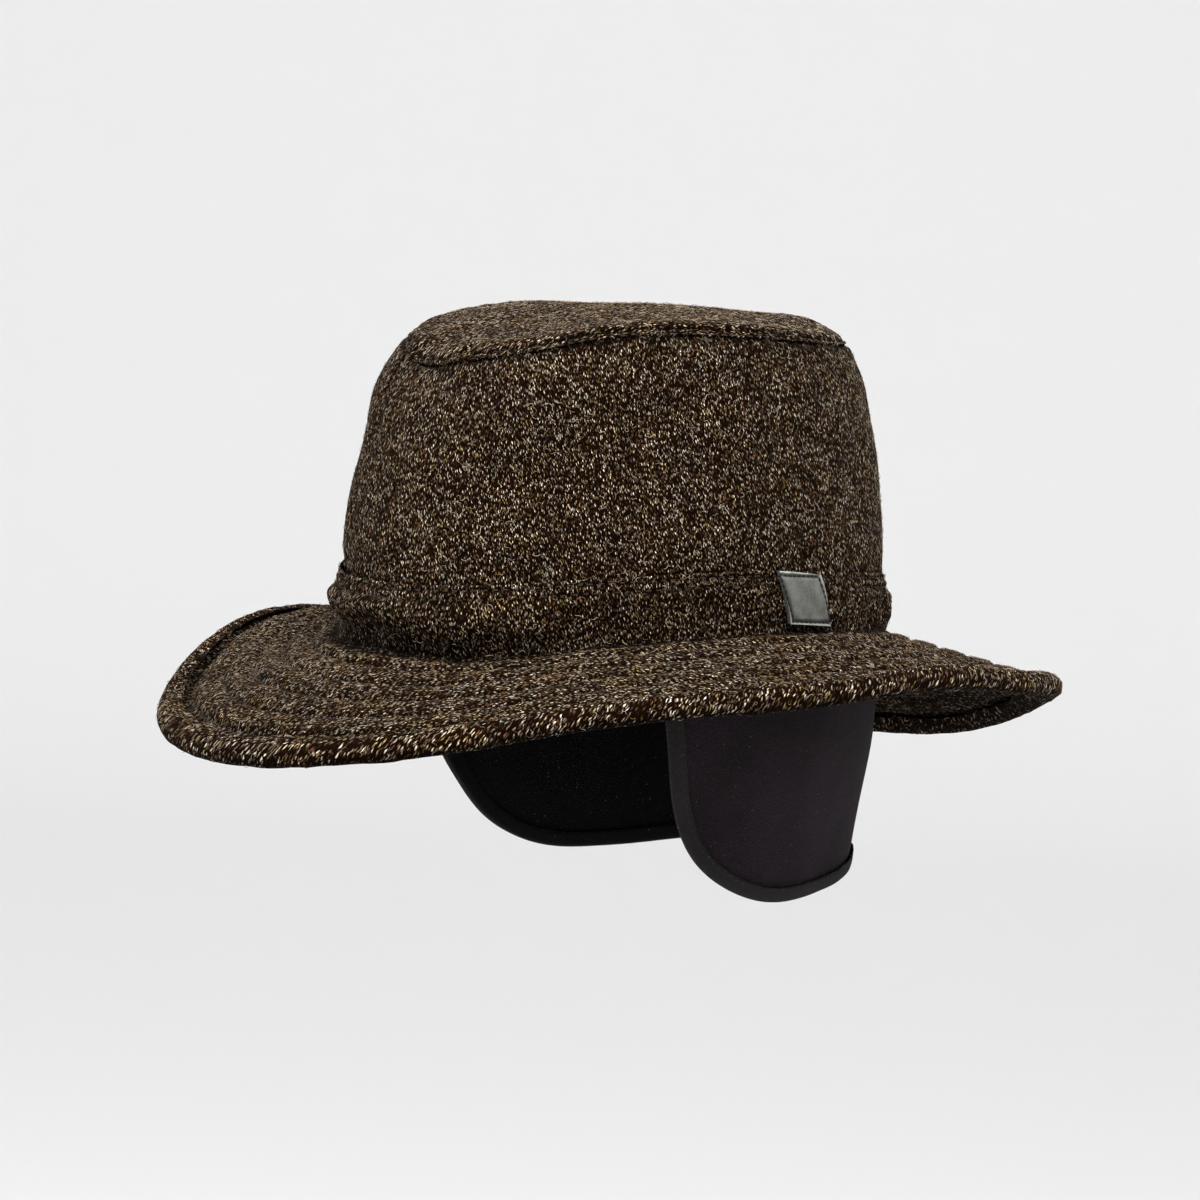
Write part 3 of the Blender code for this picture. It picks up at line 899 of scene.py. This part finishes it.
BRIM_PUSHES = (
    (150, 0.35, 30, 0.3, -0.0010),
    (104, 1.0, 17, 0.16, 0.0042),
    (178, 1.0, 20, 0.2, -0.0010),
    (322, 1.0, 16, 0.3, -0.0013),
    (292, 1.0, 10, 0.3, 0.0010),
)


def brim_share(angle, far):
    return far / BRIM_REACH(angle)


def under(item):
    """How far each point's normal looks down, from 0 to 1."""
    return facing(item, -UP)


def shape_brim(item):
    points, angle, far = placed(item)
    share = brim_share(angle, far)
    reach = BRIM_REACH(angle)
    normal = normals_of(item)
    row_number = np.rint(share * BRIM_ROWS)
    from_row = (share * BRIM_ROWS - row_number) / BRIM_ROWS * reach
    on_rows = within((share - 0.06) / 0.05)
    spread = reach / BRIM_ROWS / 2
    puff = ROW_PUFF * (1 - within(1 - np.abs(from_row) / spread) ** 2)
    dip = ROW_DIP * bell(from_row, 0.0011)
    run = arc_length(angle) * (1 + share * 0.4)
    pucker = ripple(run + row_number * 0.013, 13, 0.008) * 0.0005 * bell(from_row, 0.0035)
    to_hem = (HEM_INNER_SHARE - share) * reach
    edge = HEM_GROOVE * bell(to_hem - 0.0008, 0.0022)
    waves = 0.0005 * folds(points[:, 0], points[:, 1], 14, 0.016, 0.016)
    top = normal[:, 2] > 0
    move = ((puff - dip + pucker) * on_rows - edge) * np.where(top, 1.0, 0.55)
    moved = points + normal * (move + waves * np.where(top, 1, -1))[:, None]
    moved[:, 2] += lean_table(angle, share, BRIM_PUSHES)
    moved[:, 2] += SEAM_TURN_UP * within(1 - far / SEAM_TURN_WIDTH)
    set_points(item, moved)
    # Painted shade in the stitch rows, in the groove inside the hem, where the brim meets the band,
    # and on the underside.
    rows = 0.6 * bell(from_row, 0.0009) * on_rows * (share < STITCHED_SHARE)
    painted_groove_shade = 1.2 * bell(to_hem - 0.0002, 0.0018)
    painted_seat_shade = 0.85 * bell(np.maximum(far - 0.0035, 0.0), 0.0013)
    mark_painted_shade(item, rows + painted_groove_shade + painted_seat_shade + UNDERSIDE_SHADE * under(item))
    return item


def weave_unrolled(item, turn):
    """Lay a sloping ring out flat, so that the weave isn't stretched where it falls away."""
    points, angle, far = placed(item)
    fall = points[:, 2] + FOOT_LINE(angle)
    slope_length = np.sign(far) * np.hypot(far, fall)
    weave_laid(item, oval(angle) + outward(angle) * slope_length[:, None], turn)


brim = shape_brim(smooth_copy("brim", "brim_cloth", 3))
weave_unrolled(brim, 0.9)
dress(brim, BRIM_TWEED, "brim")
row_gap = BRIM_REACH(0.0) / BRIM_ROWS * 1000
print("brim rows:", BRIM_ROWS, "at the front", round(float(row_gap), 1), "mm apart")

# %% [markdown]
# ## The rolled hem
#
# The brim's edge is wrapped in a strip of tweed that is cut on the slant and rolled over,
# so its flecks lean another way. The strip is a little too long for its inner edge, and it
# ruckles there.

# %% Shape the hem
HEM_WIDTH = 0.0105
HEM_PUFF = 0.0011
HEM_ROLL = 0.0028


def shape_hem(item):
    points, angle, far = placed(item)
    normal = normals_of(item)
    run = arc_length(angle) * 1.4
    inside = within((HEM_REACH(angle) - far) / HEM_WIDTH)
    move = HEM_PUFF * bell(inside - 0.5, 0.42) * within(normal[:, 2] * 1.5)
    move += 0.0005 * ripple(run, 15, 0.008) * (0.4 + inside)
    move += 0.0004 * ripple(run, 16, 0.03)
    moved = points + normal * move[:, None]
    moved[:, 2] += lean_table(angle, brim_share(angle, far), BRIM_PUSHES)
    set_points(item, moved)
    # Painted shade along the hem's inner edge and on its underside.
    mark_painted_shade(item, bell(inside - 1.0, 0.13) * 1.1 + UNDERSIDE_SHADE * under(item))
    return item


def weave_rolled(item, turn):
    """Round the head by over the roll: in along its top, round its edge, and back beneath."""
    _, angle, far = placed(item)
    level = normals_of(item)[:, 2]
    inset = np.maximum(HEM_REACH(angle) - HEM_ROLL - far, 0.0)
    turned = FULL_TURN / 4 - np.arccos(within(np.abs(level)))
    weave_round(item, turn, np.where(level > 0, 1.0, -1.0) * (inset + HEM_ROLL * turned))


hem = shape_hem(smooth_copy("brim_binding", "brim_hem_cloth", 2))
weave_rolled(hem, 0.7)
dress(hem, HEM_TWEED, "brim_binding")
print("hem:", HEM_WIDTH * 1000, "mm wide")

# %% [markdown]
# ## The leather patch
#
# The patch is a small leaning panel of grey leather, sewn on all round. Its edge was
# pressed in a heated die, so it has a raised rim, and the stitches sink just inside it.
# The patch is bare: it carries nothing but its border.

# %% Shape the patch
PATCH_RIM_WIDTH = 0.0008
PATCH_STITCH_INSET = 0.0014
PATCH_EXTRA_LEAN = -0.08
PATCH_TALLER = 0.05
PATCH_LIFT = 0.0010
PATCH_FALL = -0.06
SHARP_CORNER = math.radians(50)


def along_head(angle):
    """The way round the head at each angle, one unit long."""
    slope = oval_slope(angle)
    return as_3d(slope / np.linalg.norm(slope, axis=1, keepdims=True))


def patch_place(points):
    """Places on the patch, from its middle, with its lean taken out."""
    angle, _ = round_place(points)
    run = arc_length(angle)
    run, height = run - PATCH_MIDDLE[0], points[:, 2] - PATCH_MIDDLE[1]
    return run - PATCH_LEAN * height, height


patch_node_points = points_of(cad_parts["label_patch"].data)
patch_run = arc_length(round_place(patch_node_points)[0])
PATCH_MIDDLE = ((patch_run.min() + patch_run.max()) / 2,
                (patch_node_points[:, 2].min() + patch_node_points[:, 2].max()) / 2)
spread = np.cov(patch_run, patch_node_points[:, 2])
PATCH_LEAN = spread[0, 1] / spread[1, 1]
PATCH_HALF = np.abs(np.stack(patch_place(patch_node_points), axis=1)).max(axis=0)
print("patch half size in mm:", np.round(PATCH_HALF * 1000, 1), "lean", round(float(PATCH_LEAN), 2))


def patch_on_hat(run, height):
    """The distance round the head and the height of a place on the patch."""
    return (PATCH_MIDDLE[0] + run + (PATCH_LEAN + PATCH_EXTRA_LEAN) * height,
            PATCH_MIDDLE[1] + PATCH_LIFT + height * (1 + PATCH_TALLER) + run * PATCH_FALL)


def shape_patch(item):
    points, angle, _ = placed(item)
    run, height = patch_place(points)
    inset = np.minimum(PATCH_HALF[0] - np.abs(run), PATCH_HALF[1] - np.abs(height))
    points = points + along_head(angle) * (height * PATCH_EXTRA_LEAN)[:, None]
    points[:, 2] += height * PATCH_TALLER + PATCH_LIFT + run * PATCH_FALL
    way = as_3d(outward(round_place(points)[0]))
    shows = facing(item, way)
    rim = within(1.5 - inset / PATCH_RIM_WIDTH)
    move = 0.0004 * rim - 0.0006 * bell(inset - PATCH_STITCH_INSET, 0.0006)
    move += 0.0004 * folds(run, height, 17, 0.007, 0.007)
    set_points(item, points + way * (move * shows)[:, None])
    write_value(item, "rim", rim * shows)
    # Painted shade along the stitch groove just inside the rim.
    mark_painted_shade(item, 0.85 * bell(inset - PATCH_STITCH_INSET, 0.0004) * shows)
    item.data.set_sharp_from_angle(angle=SHARP_CORNER)
    return item


patch = shape_patch(smooth_copy("label_patch", "label_patch_leather", 3, "SIMPLE"))
dress(patch, LEATHER, "label_patch")

# %% [markdown]
# ## The ear warmer and its tape
#
# Two flaps and the part round the back are one piece of twill. It hangs from inside the
# crown, so it sways in long soft folds. The tape is sewn over its edge and sways with it,
# so both take their folds from one function of the place on the hat.

# %% Shape the ear warmer and its tape
WARMER_PUSHES = ((150, 0.55, 22, 0.35, 0.0011),)
WARMER_SPREADS = ((289, 0.6, 9, 0.17, -0.0040), (286, 0.92, 10, 0.13, 0.0010))
WARMER_FOLDS = ((18, 0.035, 0.05, 0.0016), (19, 0.016, 0.02, 0.0006))
WARMER_TOP_SHADE = 0.45
FLAP_REACH = 0.09


def sway(item):
    points, angle, _ = placed(item)
    hang = within(-points[:, 2] / FLAP_REACH)
    free = within(hang * 12)
    move = fold_table(angle, points[:, 2], WARMER_FOLDS, hang)
    move += lean_table(angle, hang, WARMER_PUSHES) * free
    aside = -lean_table(angle, hang, WARMER_SPREADS) * free
    way = as_3d(outward(angle))
    set_points(item, points + way * move[:, None] + along_head(angle) * aside[:, None])
    # Darkened towards black on the inside faces, and painted shade on the tops of the flaps under
    # the brim.
    mark_painted_shade(item, facing(item, -way) + WARMER_TOP_SHADE * bell(hang, 0.3))
    return item


warmer = sway(smooth_copy("ear_warmer", "ear_warmer_cloth", 2))
tape = sway(smooth_copy("ear_warmer_binding", "ear_warmer_tape", 2))
weave_round(warmer, 0.0, points_of(warmer.data)[:, 2])
weave_round(tape, 0.6, points_of(tape.data)[:, 2])
dress(warmer, TWILL, "ear_warmer")
dress(tape, TAPE, "ear_warmer_binding")

# %% The ear warmer's points and angles round the hat
warmer_points, warmer_angle, _ = placed(warmer)

# %% [markdown]
# ## Stitches by Geometry Nodes
#
# A row of stitches is one small shape repeated along a line. An array modifier on a curve
# would bend each stitch. Geometry Nodes place them better: the tree makes a curve of a
# path, puts points on it at an even pitch, and sets an arched stitch on each. Its X axis
# follows the path and its Z axis the cloth's normal, which the path carries as an
# attribute named up.

# %% Geometry node helpers
def start_group(name, **sockets):
    """A geometry tree with named inputs, given by their kind."""
    tree = bpy.data.node_groups.new(name, "GeometryNodeTree")

    def add_socket(label, way, kind):
        tree.interface.new_socket(label, in_out=way, socket_type="NodeSocket" + kind)

    add_socket("Geometry", "INPUT", "Geometry")
    for kind, labels in sockets.items():
        for label in labels:
            add_socket(label, "INPUT", kind)
    add_socket("Geometry", "OUTPUT", "Geometry")
    return tree, tree.nodes.new("NodeGroupInput").outputs


def end_group(tree, instances, material):
    """Real geometry with its material, as the last two steps of a tree."""
    real = add_node(tree, "GeometryNodeRealizeInstances", {0: instances}).outputs[0]
    done = add_node(tree, "GeometryNodeSetMaterial", {"Geometry": real, "Material": material})
    add_node(tree, "NodeGroupOutput", {0: done.outputs[0]})
    return tree


def run_group(item, tree, values):
    """Set a tree's inputs on an object, and make the result the object's own mesh."""
    modifier = item.modifiers.new(tree.name, "NODES")
    modifier.node_group = tree
    for socket in tree.interface.items_tree:
        if socket.in_out == "INPUT" and socket.name in values:
            modifier[socket.identifier] = values[socket.name]
    bake_modifiers(item)
    item.data.shade_smooth()
    print(f"{item.name}: {len(item.data.polygons)} faces")


def tube(tree, curve, sides, thickness):
    """A closed tube along a curve."""
    radius = times(tree, thickness, 0.5)
    inputs = {"Resolution": sides, "Radius": radius}
    ring = add_node(tree, "GeometryNodeCurvePrimitiveCircle", inputs, mode="RADIUS").outputs[0]
    inputs = {"Curve": curve, "Profile Curve": ring, "Fill Caps": True}
    return add_node(tree, "GeometryNodeCurveToMesh", inputs).outputs[0]


def stitch_tree():
    tree, given = start_group("stitch_row", Material=["Thread"],
                              Float=["Pitch", "Length", "Thickness", "Rise", "Sink"])
    line = add_node(tree, "GeometryNodeMeshToCurve", {0: given["Geometry"]}).outputs[0]
    inputs = {"Curve": line, "Length": given["Pitch"]}
    spots = add_node(tree, "GeometryNodeCurveToPoints", inputs, mode="LENGTH").outputs
    up = add_node(tree, "GeometryNodeInputNamedAttribute", {"Name": "up"}, data_type="FLOAT_VECTOR")
    inputs = {"Vector": spots["Tangent"]}
    turn = add_node(tree, "FunctionNodeAlignRotationToVector", inputs, axis="X")
    inputs = {"Rotation": turn.outputs[0], "Vector": up.outputs[0]}
    turn = add_node(tree, "FunctionNodeAlignRotationToVector", inputs, axis="Z", pivot_axis="X")
    half = times(tree, given["Length"], 0.5)
    back = times(tree, half, -1.0)
    down = times(tree, given["Sink"], -1.0)
    ends = [add_node(tree, "ShaderNodeCombineXYZ", place).outputs[0]
            for place in ({0: back, 2: down}, {2: given["Rise"]}, {0: half, 2: down})]
    inputs = dict(zip(("Start", "Middle", "End"), ends), Resolution=3)
    arch = add_node(tree, "GeometryNodeCurveQuadraticBezier", inputs).outputs[0]
    placed_stitches = add_node(tree, "GeometryNodeInstanceOnPoints",
                               {"Points": spots["Points"], "Rotation": turn.outputs[0],
                                "Instance": tube(tree, arch, 5, given["Thickness"])})
    return end_group(tree, placed_stitches.outputs[0], given["Thread"])


STITCH_ROW = stitch_tree()
print("stitch tree has", len(STITCH_ROW.nodes), "nodes")

# %% [markdown]
# ## Paths for the stitches
#
# A path has to lie on the finished cloth. Rays do that: they start beside the piece, head
# towards it, and stop where they meet it.

# %% Rays that lay a path on a piece
def surface_of(item):
    graph = bpy.context.evaluated_depsgraph_get()
    graph.update()
    return BVHTree.FromObject(item, graph)


def lay_path(surface, starts, ways):
    """Where rays meet a surface, with the normals there. Rays that miss are left out."""
    spots, ups = [], []
    for start, way in zip(starts, ways):
        spot, normal, _, _ = surface.ray_cast(Vector(start), Vector(way))
        if spot is not None:
            spots.append(spot)
            ups.append(-normal if normal.dot(Vector(way)) > 0 else normal)
    return spots, ups


def sew(name, rows, values):
    """One piece of stitches along several laid paths, each with its ends joined or free."""
    verts, edges, ups = [], [], []
    for (spots, normals), closed in rows:
        first, last = len(verts), len(verts) + len(spots)
        verts += spots
        ups += normals
        edges += [(index, index + 1) for index in range(first, last - 1)]
        if closed:
            edges.append((last - 1, first))
    mesh = bpy.data.meshes.new(name)
    mesh.from_pydata(verts, edges, [])
    mark = mesh.attributes.new("up", "FLOAT_VECTOR", "POINT")
    mark.data.foreach_set("vector", np.array(ups, dtype=np.float32).ravel())
    item = add_object(name, mesh)
    run_group(item, STITCH_ROW, values)
    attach(item, BODY)


ROUND_POINTS = 320
ROUND_ANGLES = np.linspace(0.0, FULL_TURN, ROUND_POINTS, endpoint=False)
FAR_OFF = 0.12


def rays_in(angles, heights):
    """Level rays from well outside the hat towards it."""
    way = as_3d(outward(angles))
    starts = as_3d(oval(angles)) + way * FAR_OFF
    starts[:, 2] = heights
    return starts, -way

# %% [markdown]
# ## Sewing the brim, the band and the crown's seam
#
# The brim's thread is dark brown and sinks into the rows, on the top and underneath. The
# band has two rows near its top edge, and the crown's seam has one on its ridge.

# %% Sew the tweed pieces
WELT_STITCH_RISE = 0.0011
BAND_STITCH = {"Pitch": 0.0036, "Length": 0.0026, "Thickness": 0.0005, "Rise": 0.0005,
               "Sink": 0.0004, "Thread": BROWN_THREAD}
BRIM_STITCH = BAND_STITCH | {"Pitch": 0.0042, "Length": 0.0031, "Thickness": 0.00055}


def brim_row(surface, number, side):
    far = BRIM_REACH(ROUND_ANGLES) * number / BRIM_ROWS
    starts = as_3d(oval(ROUND_ANGLES) + outward(ROUND_ANGLES) * far[:, None]) + UP * side * FAR_OFF
    return lay_path(surface, starts, [-UP * side] * len(starts)), True


def level_row(surface, heights):
    return lay_path(surface, *rays_in(ROUND_ANGLES, heights)), True


brim_surface = surface_of(brim)
brim_paths = [brim_row(brim_surface, number, side) for side in (1, -1)
              for number in range(1, BRIM_ROWS)]
sew("brim_stitches", brim_paths, BRIM_STITCH)

band_surface = surface_of(band)
band_tops = BAND_TOP(ROUND_ANGLES)
sew("band_stitches", [level_row(band_surface, band_tops - row) for row in BAND_ROWS],
    BAND_STITCH)

seam_heights = SEAM_LINE(ROUND_ANGLES) + seam_shift(ROUND_ANGLES) + WELT_STITCH_RISE
sew("seam_stitches", [level_row(surface_of(tip), seam_heights)], BAND_STITCH)

# %% [markdown]
# ## Sewing the patch and the tape
#
# The patch's black stitches run just inside its rim, all the way round. The tape's run
# along its inner edge. That line is found by laying the tape out flat, taking its lower
# edge and stepping in from it.

# %% Sew the patch
PATCH_STITCH = {"Pitch": 0.0022, "Length": 0.0016, "Thickness": 0.0007, "Rise": 0.0011,
                "Sink": 0.0003, "Thread": BLACK_THREAD}
SIDE_STEPS = 16


def patch_border(inset):
    """Angles and heights of a closed line inside the patch's edge."""
    corners = ((-1, -1), (1, -1), (1, 1), (-1, 1), (-1, -1))
    line = []
    for (x0, y0), (x1, y1) in zip(corners, corners[1:]):
        line += [(x0 + (x1 - x0) * step / SIDE_STEPS, y0 + (y1 - y0) * step / SIDE_STEPS)
                 for step in range(SIDE_STEPS)]
    along, up = patch_on_hat(*np.array(line).T * (PATCH_HALF - inset)[:, None])
    return np.interp(along, ARC_RUN, ARC_ANGLES), up


patch_path = lay_path(surface_of(patch), *rays_in(*patch_border(PATCH_STITCH_INSET)))
sew("patch_stitches", [(patch_path, True)], PATCH_STITCH)

# %% Sew the tape
TAPE_STITCH_INSET = 0.0040
TAPE_SLICE = math.radians(0.6)
TAPE_FRONT = math.radians(69)
EDGE_SMOOTHINGS = 4
TAPE_STITCH = {"Pitch": 0.0032, "Length": 0.0021, "Thickness": 0.0004, "Rise": 0.0004,
               "Sink": 0.0003, "Thread": BLACK_THREAD}


def tape_line(inset):
    """The tape's lower edge laid out flat and moved in, as angles and heights."""
    points, angle, _ = placed(tape)
    angle = angle % FULL_TURN
    edges = np.arange(TAPE_FRONT, FULL_TURN - TAPE_FRONT, TAPE_SLICE)
    slices = np.digitize(angle, edges)
    known = [index for index in range(1, len(edges)) if (slices == index).any()]
    low = np.array([points[slices == index, 2].min() for index in known])
    middle = edges[known] - TAPE_SLICE / 2
    run = arc_length(middle)
    for _ in range(EDGE_SMOOTHINGS):
        low[1:-1] = (low[:-2] + 2 * low[1:-1] + low[2:]) / 4
    slope = np.stack([np.gradient(run), np.gradient(low)], axis=1)
    slope /= np.linalg.norm(slope, axis=1, keepdims=True)
    run, low = run - slope[:, 1] * inset, low + slope[:, 0] * inset
    return np.interp(run, arc_length(edges), edges), low


tape_path = lay_path(surface_of(tape), *rays_in(*tape_line(TAPE_STITCH_INSET)))
sew("tape_stitches", [(tape_path, False)], TAPE_STITCH)

# %% [markdown]
# ## Loose wool by Geometry Nodes
#
# Tweed is hairy: fine fibres have worked loose all over it and lie curled on the surface.
# Blender's hair would render well, but the export drops it. So a second tree scatters
# A second tree scatters points over the cloth, picks one of three curled hairs for each
# and turns it at random.

# %% Fibre tree
HAIR_SHAPES = (
    ((-0.5, 0.0, -0.2), (-0.2, 0.35, 1.6), (0.2, 0.3, 1.2), (0.5, -0.05, -0.2)),
    ((-0.5, 0.05, -0.2), (-0.1, -0.4, 1.3), (0.1, 0.45, 1.5), (0.45, 0.0, -0.1)),
    ((-0.3, 0.0, -0.2), (-0.45, 0.4, 1.1), (0.45, 0.5, 1.9), (0.25, -0.1, 0.5)),
)
TONE_SEED_STEP = 50.0


def fibre_tree():
    tree, given = start_group("loose_fibres", Float=["Density", "Length", "Thickness", "Raise"],
                              Int=["Seed"], Material=["Wool"])
    seed = given["Seed"]

    def chance(kind, seed=seed, **limits):
        inputs = {int(key[1:]): value for key, value in limits.items()} | {"Seed": seed}
        return add_node(tree, "FunctionNodeRandomValue", inputs, data_type=kind).outputs

    shows = add_node(tree, "GeometryNodeInputNamedAttribute", {"Name": "fuzz"}, data_type="FLOAT")
    density = times(tree, given["Density"], shows.outputs[0])
    spots = add_node(tree, "GeometryNodeDistributePointsOnFaces",
                     {"Mesh": given["Geometry"], "Density": density, "Seed": seed},
                     distribute_method="RANDOM").outputs
    scale = add_node(tree, "ShaderNodeCombineXYZ",
                     {0: given["Length"], 1: given["Length"], 2: given["Raise"]}).outputs[0]
    hairs = add_node(tree, "GeometryNodeGeometryToInstance")
    for shape in HAIR_SHAPES:
        ends = [vector_sums(tree, "MULTIPLY", scale, place) for place in shape]
        inputs = dict(zip(("Start", "Start Handle", "End Handle", "End"), ends), Resolution=4)
        bend = add_node(tree, "GeometryNodeCurvePrimitiveBezierSegment", inputs, mode="POSITION")
        tree.links.new(tube(tree, bend.outputs[0], 3, given["Thickness"]), hairs.inputs[0])
    spin = chance("FLOAT_VECTOR", _1=(0.2, 0.2, FULL_TURN))[0]
    spin = add_node(tree, "FunctionNodeEulerToRotation", {0: spin}).outputs[0]
    turn = add_node(tree, "FunctionNodeRotateRotation", {0: spots["Rotation"], 1: spin},
                    rotation_space="LOCAL").outputs[0]
    size = chance("FLOAT", _2=0.55, _3=1.35)[1]
    pick = chance("INT", _4=0, _5=len(HAIR_SHAPES) - 1)[2]
    laid = add_node(tree, "GeometryNodeInstanceOnPoints",
                    {"Points": spots["Points"], "Instance": hairs.outputs[0],
                     "Pick Instance": True, "Instance Index": pick, "Rotation": turn,
                     "Scale": size}).outputs[0]
    tone = chance("FLOAT", sums(tree, "ADD", seed, TONE_SEED_STEP), _2=0.0, _3=1.0)[1]
    toned = add_node(tree, "GeometryNodeStoreNamedAttribute",
                     {"Geometry": laid, "Name": "tone", "Value": tone},
                     data_type="FLOAT", domain="INSTANCE").outputs[0]
    return end_group(tree, toned, given["Wool"])


LOOSE_FIBRES = fibre_tree()
print("fibre tree has", len(LOOSE_FIBRES.nodes), "nodes")

# %% Scatter the fibres
FIBRE = {"Density": 80000.0, "Length": 0.0022, "Thickness": 0.00012, "Raise": 0.00022, "Wool": WOOL}
BRIM_FIBRE_SHARE = 0.85
UNDERSIDE_THINNING = 0.85
BAND_SHADOW = 0.018
BRIM_SHADOW = 0.004


def scatter(item, name, seed, shows, share=1.0):
    """Loose fibres over the part of a piece that shows, as a piece of their own."""
    copy = add_object(name, item.data.copy())
    write_value(copy, "fuzz", shows)
    run_group(copy, LOOSE_FIBRES, FIBRE | {"Density": FIBRE["Density"] * share, "Seed": seed})
    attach(copy, BODY)


def faces_out(item, low):
    """1 where a piece's surface looks outwards or up, and 0 inside it."""
    _, angle, _ = placed(item)
    normal = normals_of(item)
    out = (normal * as_3d(outward(angle))).sum(axis=1)
    return within((out + np.maximum(normal[:, 2], 0) - low) * 3)


def thinned_below(item):
    return 1.0 - UNDERSIDE_THINNING * under(item)


above_band = points_of(crown.data)[:, 2] > BAND_SHADOW
scatter(crown, "crown_side_fibres", 21, faces_out(crown, 0.2) * above_band)
scatter(tip, "crown_tip_fibres", 22, faces_out(tip, 0.2))
scatter(band, "hat_band_fibres", 23, faces_out(band, 0.2))
_, brim_angle, brim_far = placed(brim)
brim_shows = (brim_far > BRIM_SHADOW) & (brim_share(brim_angle, brim_far) < STITCHED_SHARE)
scatter(brim, "brim_fibres", 24, brim_shows * thinned_below(brim), BRIM_FIBRE_SHARE)
scatter(hem, "hem_fibres", 25, faces_out(hem, -1.0) * thinned_below(hem))

# %% [markdown]
# ## The studio
#
# A pale sweep of paper: flat under the hat, and curved up into a wall all round, so that
# no horizon shows behind it. It is a shade darker in the middle, so that the paper near
# the hat doesn't burn out. Large soft lights stand above, and the world fills in.

# %% Floor, lights and world
FLOOR_DROP = 0.42
FLOOR_FLAT = 2.3
FLOOR_CURVE = 1.2
CURVE_STEPS = 12
WALL_HEIGHT = 3.2
SWEEP_SIDES = 96
VIEW_TURN = math.radians(55)
PAPER_LIGHT = 12
WORLD_LIGHT = 0.3
PAPER_MIDDLE = (0.68, 0.68, 0.68, 1.0)
PAPER_WALL = (0.86, 0.86, 0.86, 1.0)


def paper_sweep():
    bm = bmesh.new()
    profile = [(0.0, 0.0), (FLOOR_FLAT, 0.0)]
    for index in range(1, CURVE_STEPS + 1):
        turn = math.pi / 2 * index / CURVE_STEPS
        profile.append((FLOOR_FLAT + FLOOR_CURVE * math.sin(turn),
                        FLOOR_CURVE * (1 - math.cos(turn))))
    profile.append((FLOOR_FLAT + FLOOR_CURVE, WALL_HEIGHT))
    verts = [bm.verts.new((out, 0.0, up - FLOOR_DROP)) for out, up in profile]
    edges = [bm.edges.new(pair) for pair in zip(verts, verts[1:])]
    bmesh.ops.spin(bm, geom=verts + edges, axis=(0, 0, 1), cent=(0, 0, 0), steps=SWEEP_SIDES,
                   angle=FULL_TURN)
    bmesh.ops.remove_doubles(bm, verts=bm.verts, dist=JOIN_DISTANCE)
    item = add_object("paper_sweep", mesh_of(bm, "paper_sweep"))
    item.data.shade_smooth()
    return item


def paper_material():
    material, tree, shader = start_material("pale_paper")
    reach = vector_sums(tree, "MULTIPLY", object_place(tree), (1.0, 1.0, 0.0))
    reach = add_node(tree, "ShaderNodeVectorMath", {0: reach}, operation="LENGTH").outputs["Value"]
    colour = mix_colours(tree, ranged(tree, reach, 0.9, 3.0), PAPER_MIDDLE, PAPER_WALL)
    set_surface(tree, shader, colour, None, {"Roughness": 0.9, "Specular IOR Level": 0.1})
    return material


def soft_light(name, place, aim, size, power):
    light = bpy.data.lights.new(name, "AREA")
    light.shape = "DISK"
    light.size = size
    light.energy = power
    item = add_object(name, light)
    item.location = place
    item.rotation_euler = (Vector(aim) - Vector(place)).to_track_quat("-Z", "Y").to_euler()


floor = paper_sweep()
floor.data.materials.append(paper_material())
soft_light("key_light", (1.35, -0.35, 1.45), (0.0, 0.0, 0.03), 0.8, 34)
soft_light("top_light", (0.1, -0.25, 1.7), (0.0, 0.0, 0.0), 0.9, 20)
soft_light("left_light", (0.05, -1.6, 0.6), (0.0, 0.0, 0.05), 1.0, 8)
for index in range(4):
    turn = VIEW_TURN + index * math.pi / 2
    side = Vector((-math.sin(turn), math.cos(turn), 0.0))
    soft_light(f"paper_light_{index + 1}", side * 1.7 + Vector((0, 0, 1.8)),
               side * 2.7 - Vector((0, 0, 0.3)), 1.6, PAPER_LIGHT)
world = bpy.data.worlds.new("studio")
bpy.context.scene.world = world
world.use_nodes = True
background = world.node_tree.nodes["Background"].inputs
background[0].default_value = (1.0, 1.0, 1.0, 1.0)
background[1].default_value = WORLD_LIGHT
bpy.context.scene.view_settings.view_transform = "Standard"

# %% [markdown]
# ## The camera
#
# The photograph looks a little down on the hat from its front left, through a long lens.
# The picture is 1200 pixels square, and 2.82 of them span a millimetre of the hat.

# %% Camera at the photograph's angle
PICTURE_SIDE = 1200
VIEW_AZIMUTH = math.radians(54.94)
VIEW_ELEVATION = math.radians(5.43)
VIEW_ROLL = math.radians(2.84)
VIEW_DISTANCE = 1.6785
PIXELS_PER_METRE = 2820
AIM_ACROSS = -0.005
AIM_UP = 0.00866
SENSOR = 36.0


def set_camera():
    level = math.cos(VIEW_ELEVATION)
    sin, cos = math.sin(VIEW_AZIMUTH), math.cos(VIEW_AZIMUTH)
    back = Vector((sin * level, -cos * level, math.sin(VIEW_ELEVATION)))
    right = Vector((cos, sin, 0.0))
    up = back.cross(right)
    aim = right * AIM_ACROSS + Vector((0.0, 0.0, AIM_UP))
    rolled_right = right * math.cos(VIEW_ROLL) + up * math.sin(VIEW_ROLL)
    rolled_up = up * math.cos(VIEW_ROLL) - right * math.sin(VIEW_ROLL)
    data = bpy.data.cameras.new("camera")
    data.sensor_width = SENSOR
    data.lens = PIXELS_PER_METRE * VIEW_DISTANCE / PICTURE_SIDE * SENSOR
    item = add_object("camera", data)
    turn = Matrix((rolled_right, rolled_up, back)).transposed().to_4x4()
    item.matrix_world = Matrix.Translation(aim + back * VIEW_DISTANCE) @ turn
    bpy.context.scene.camera = item
    print("lens:", round(data.lens, 1), "mm")


set_camera()
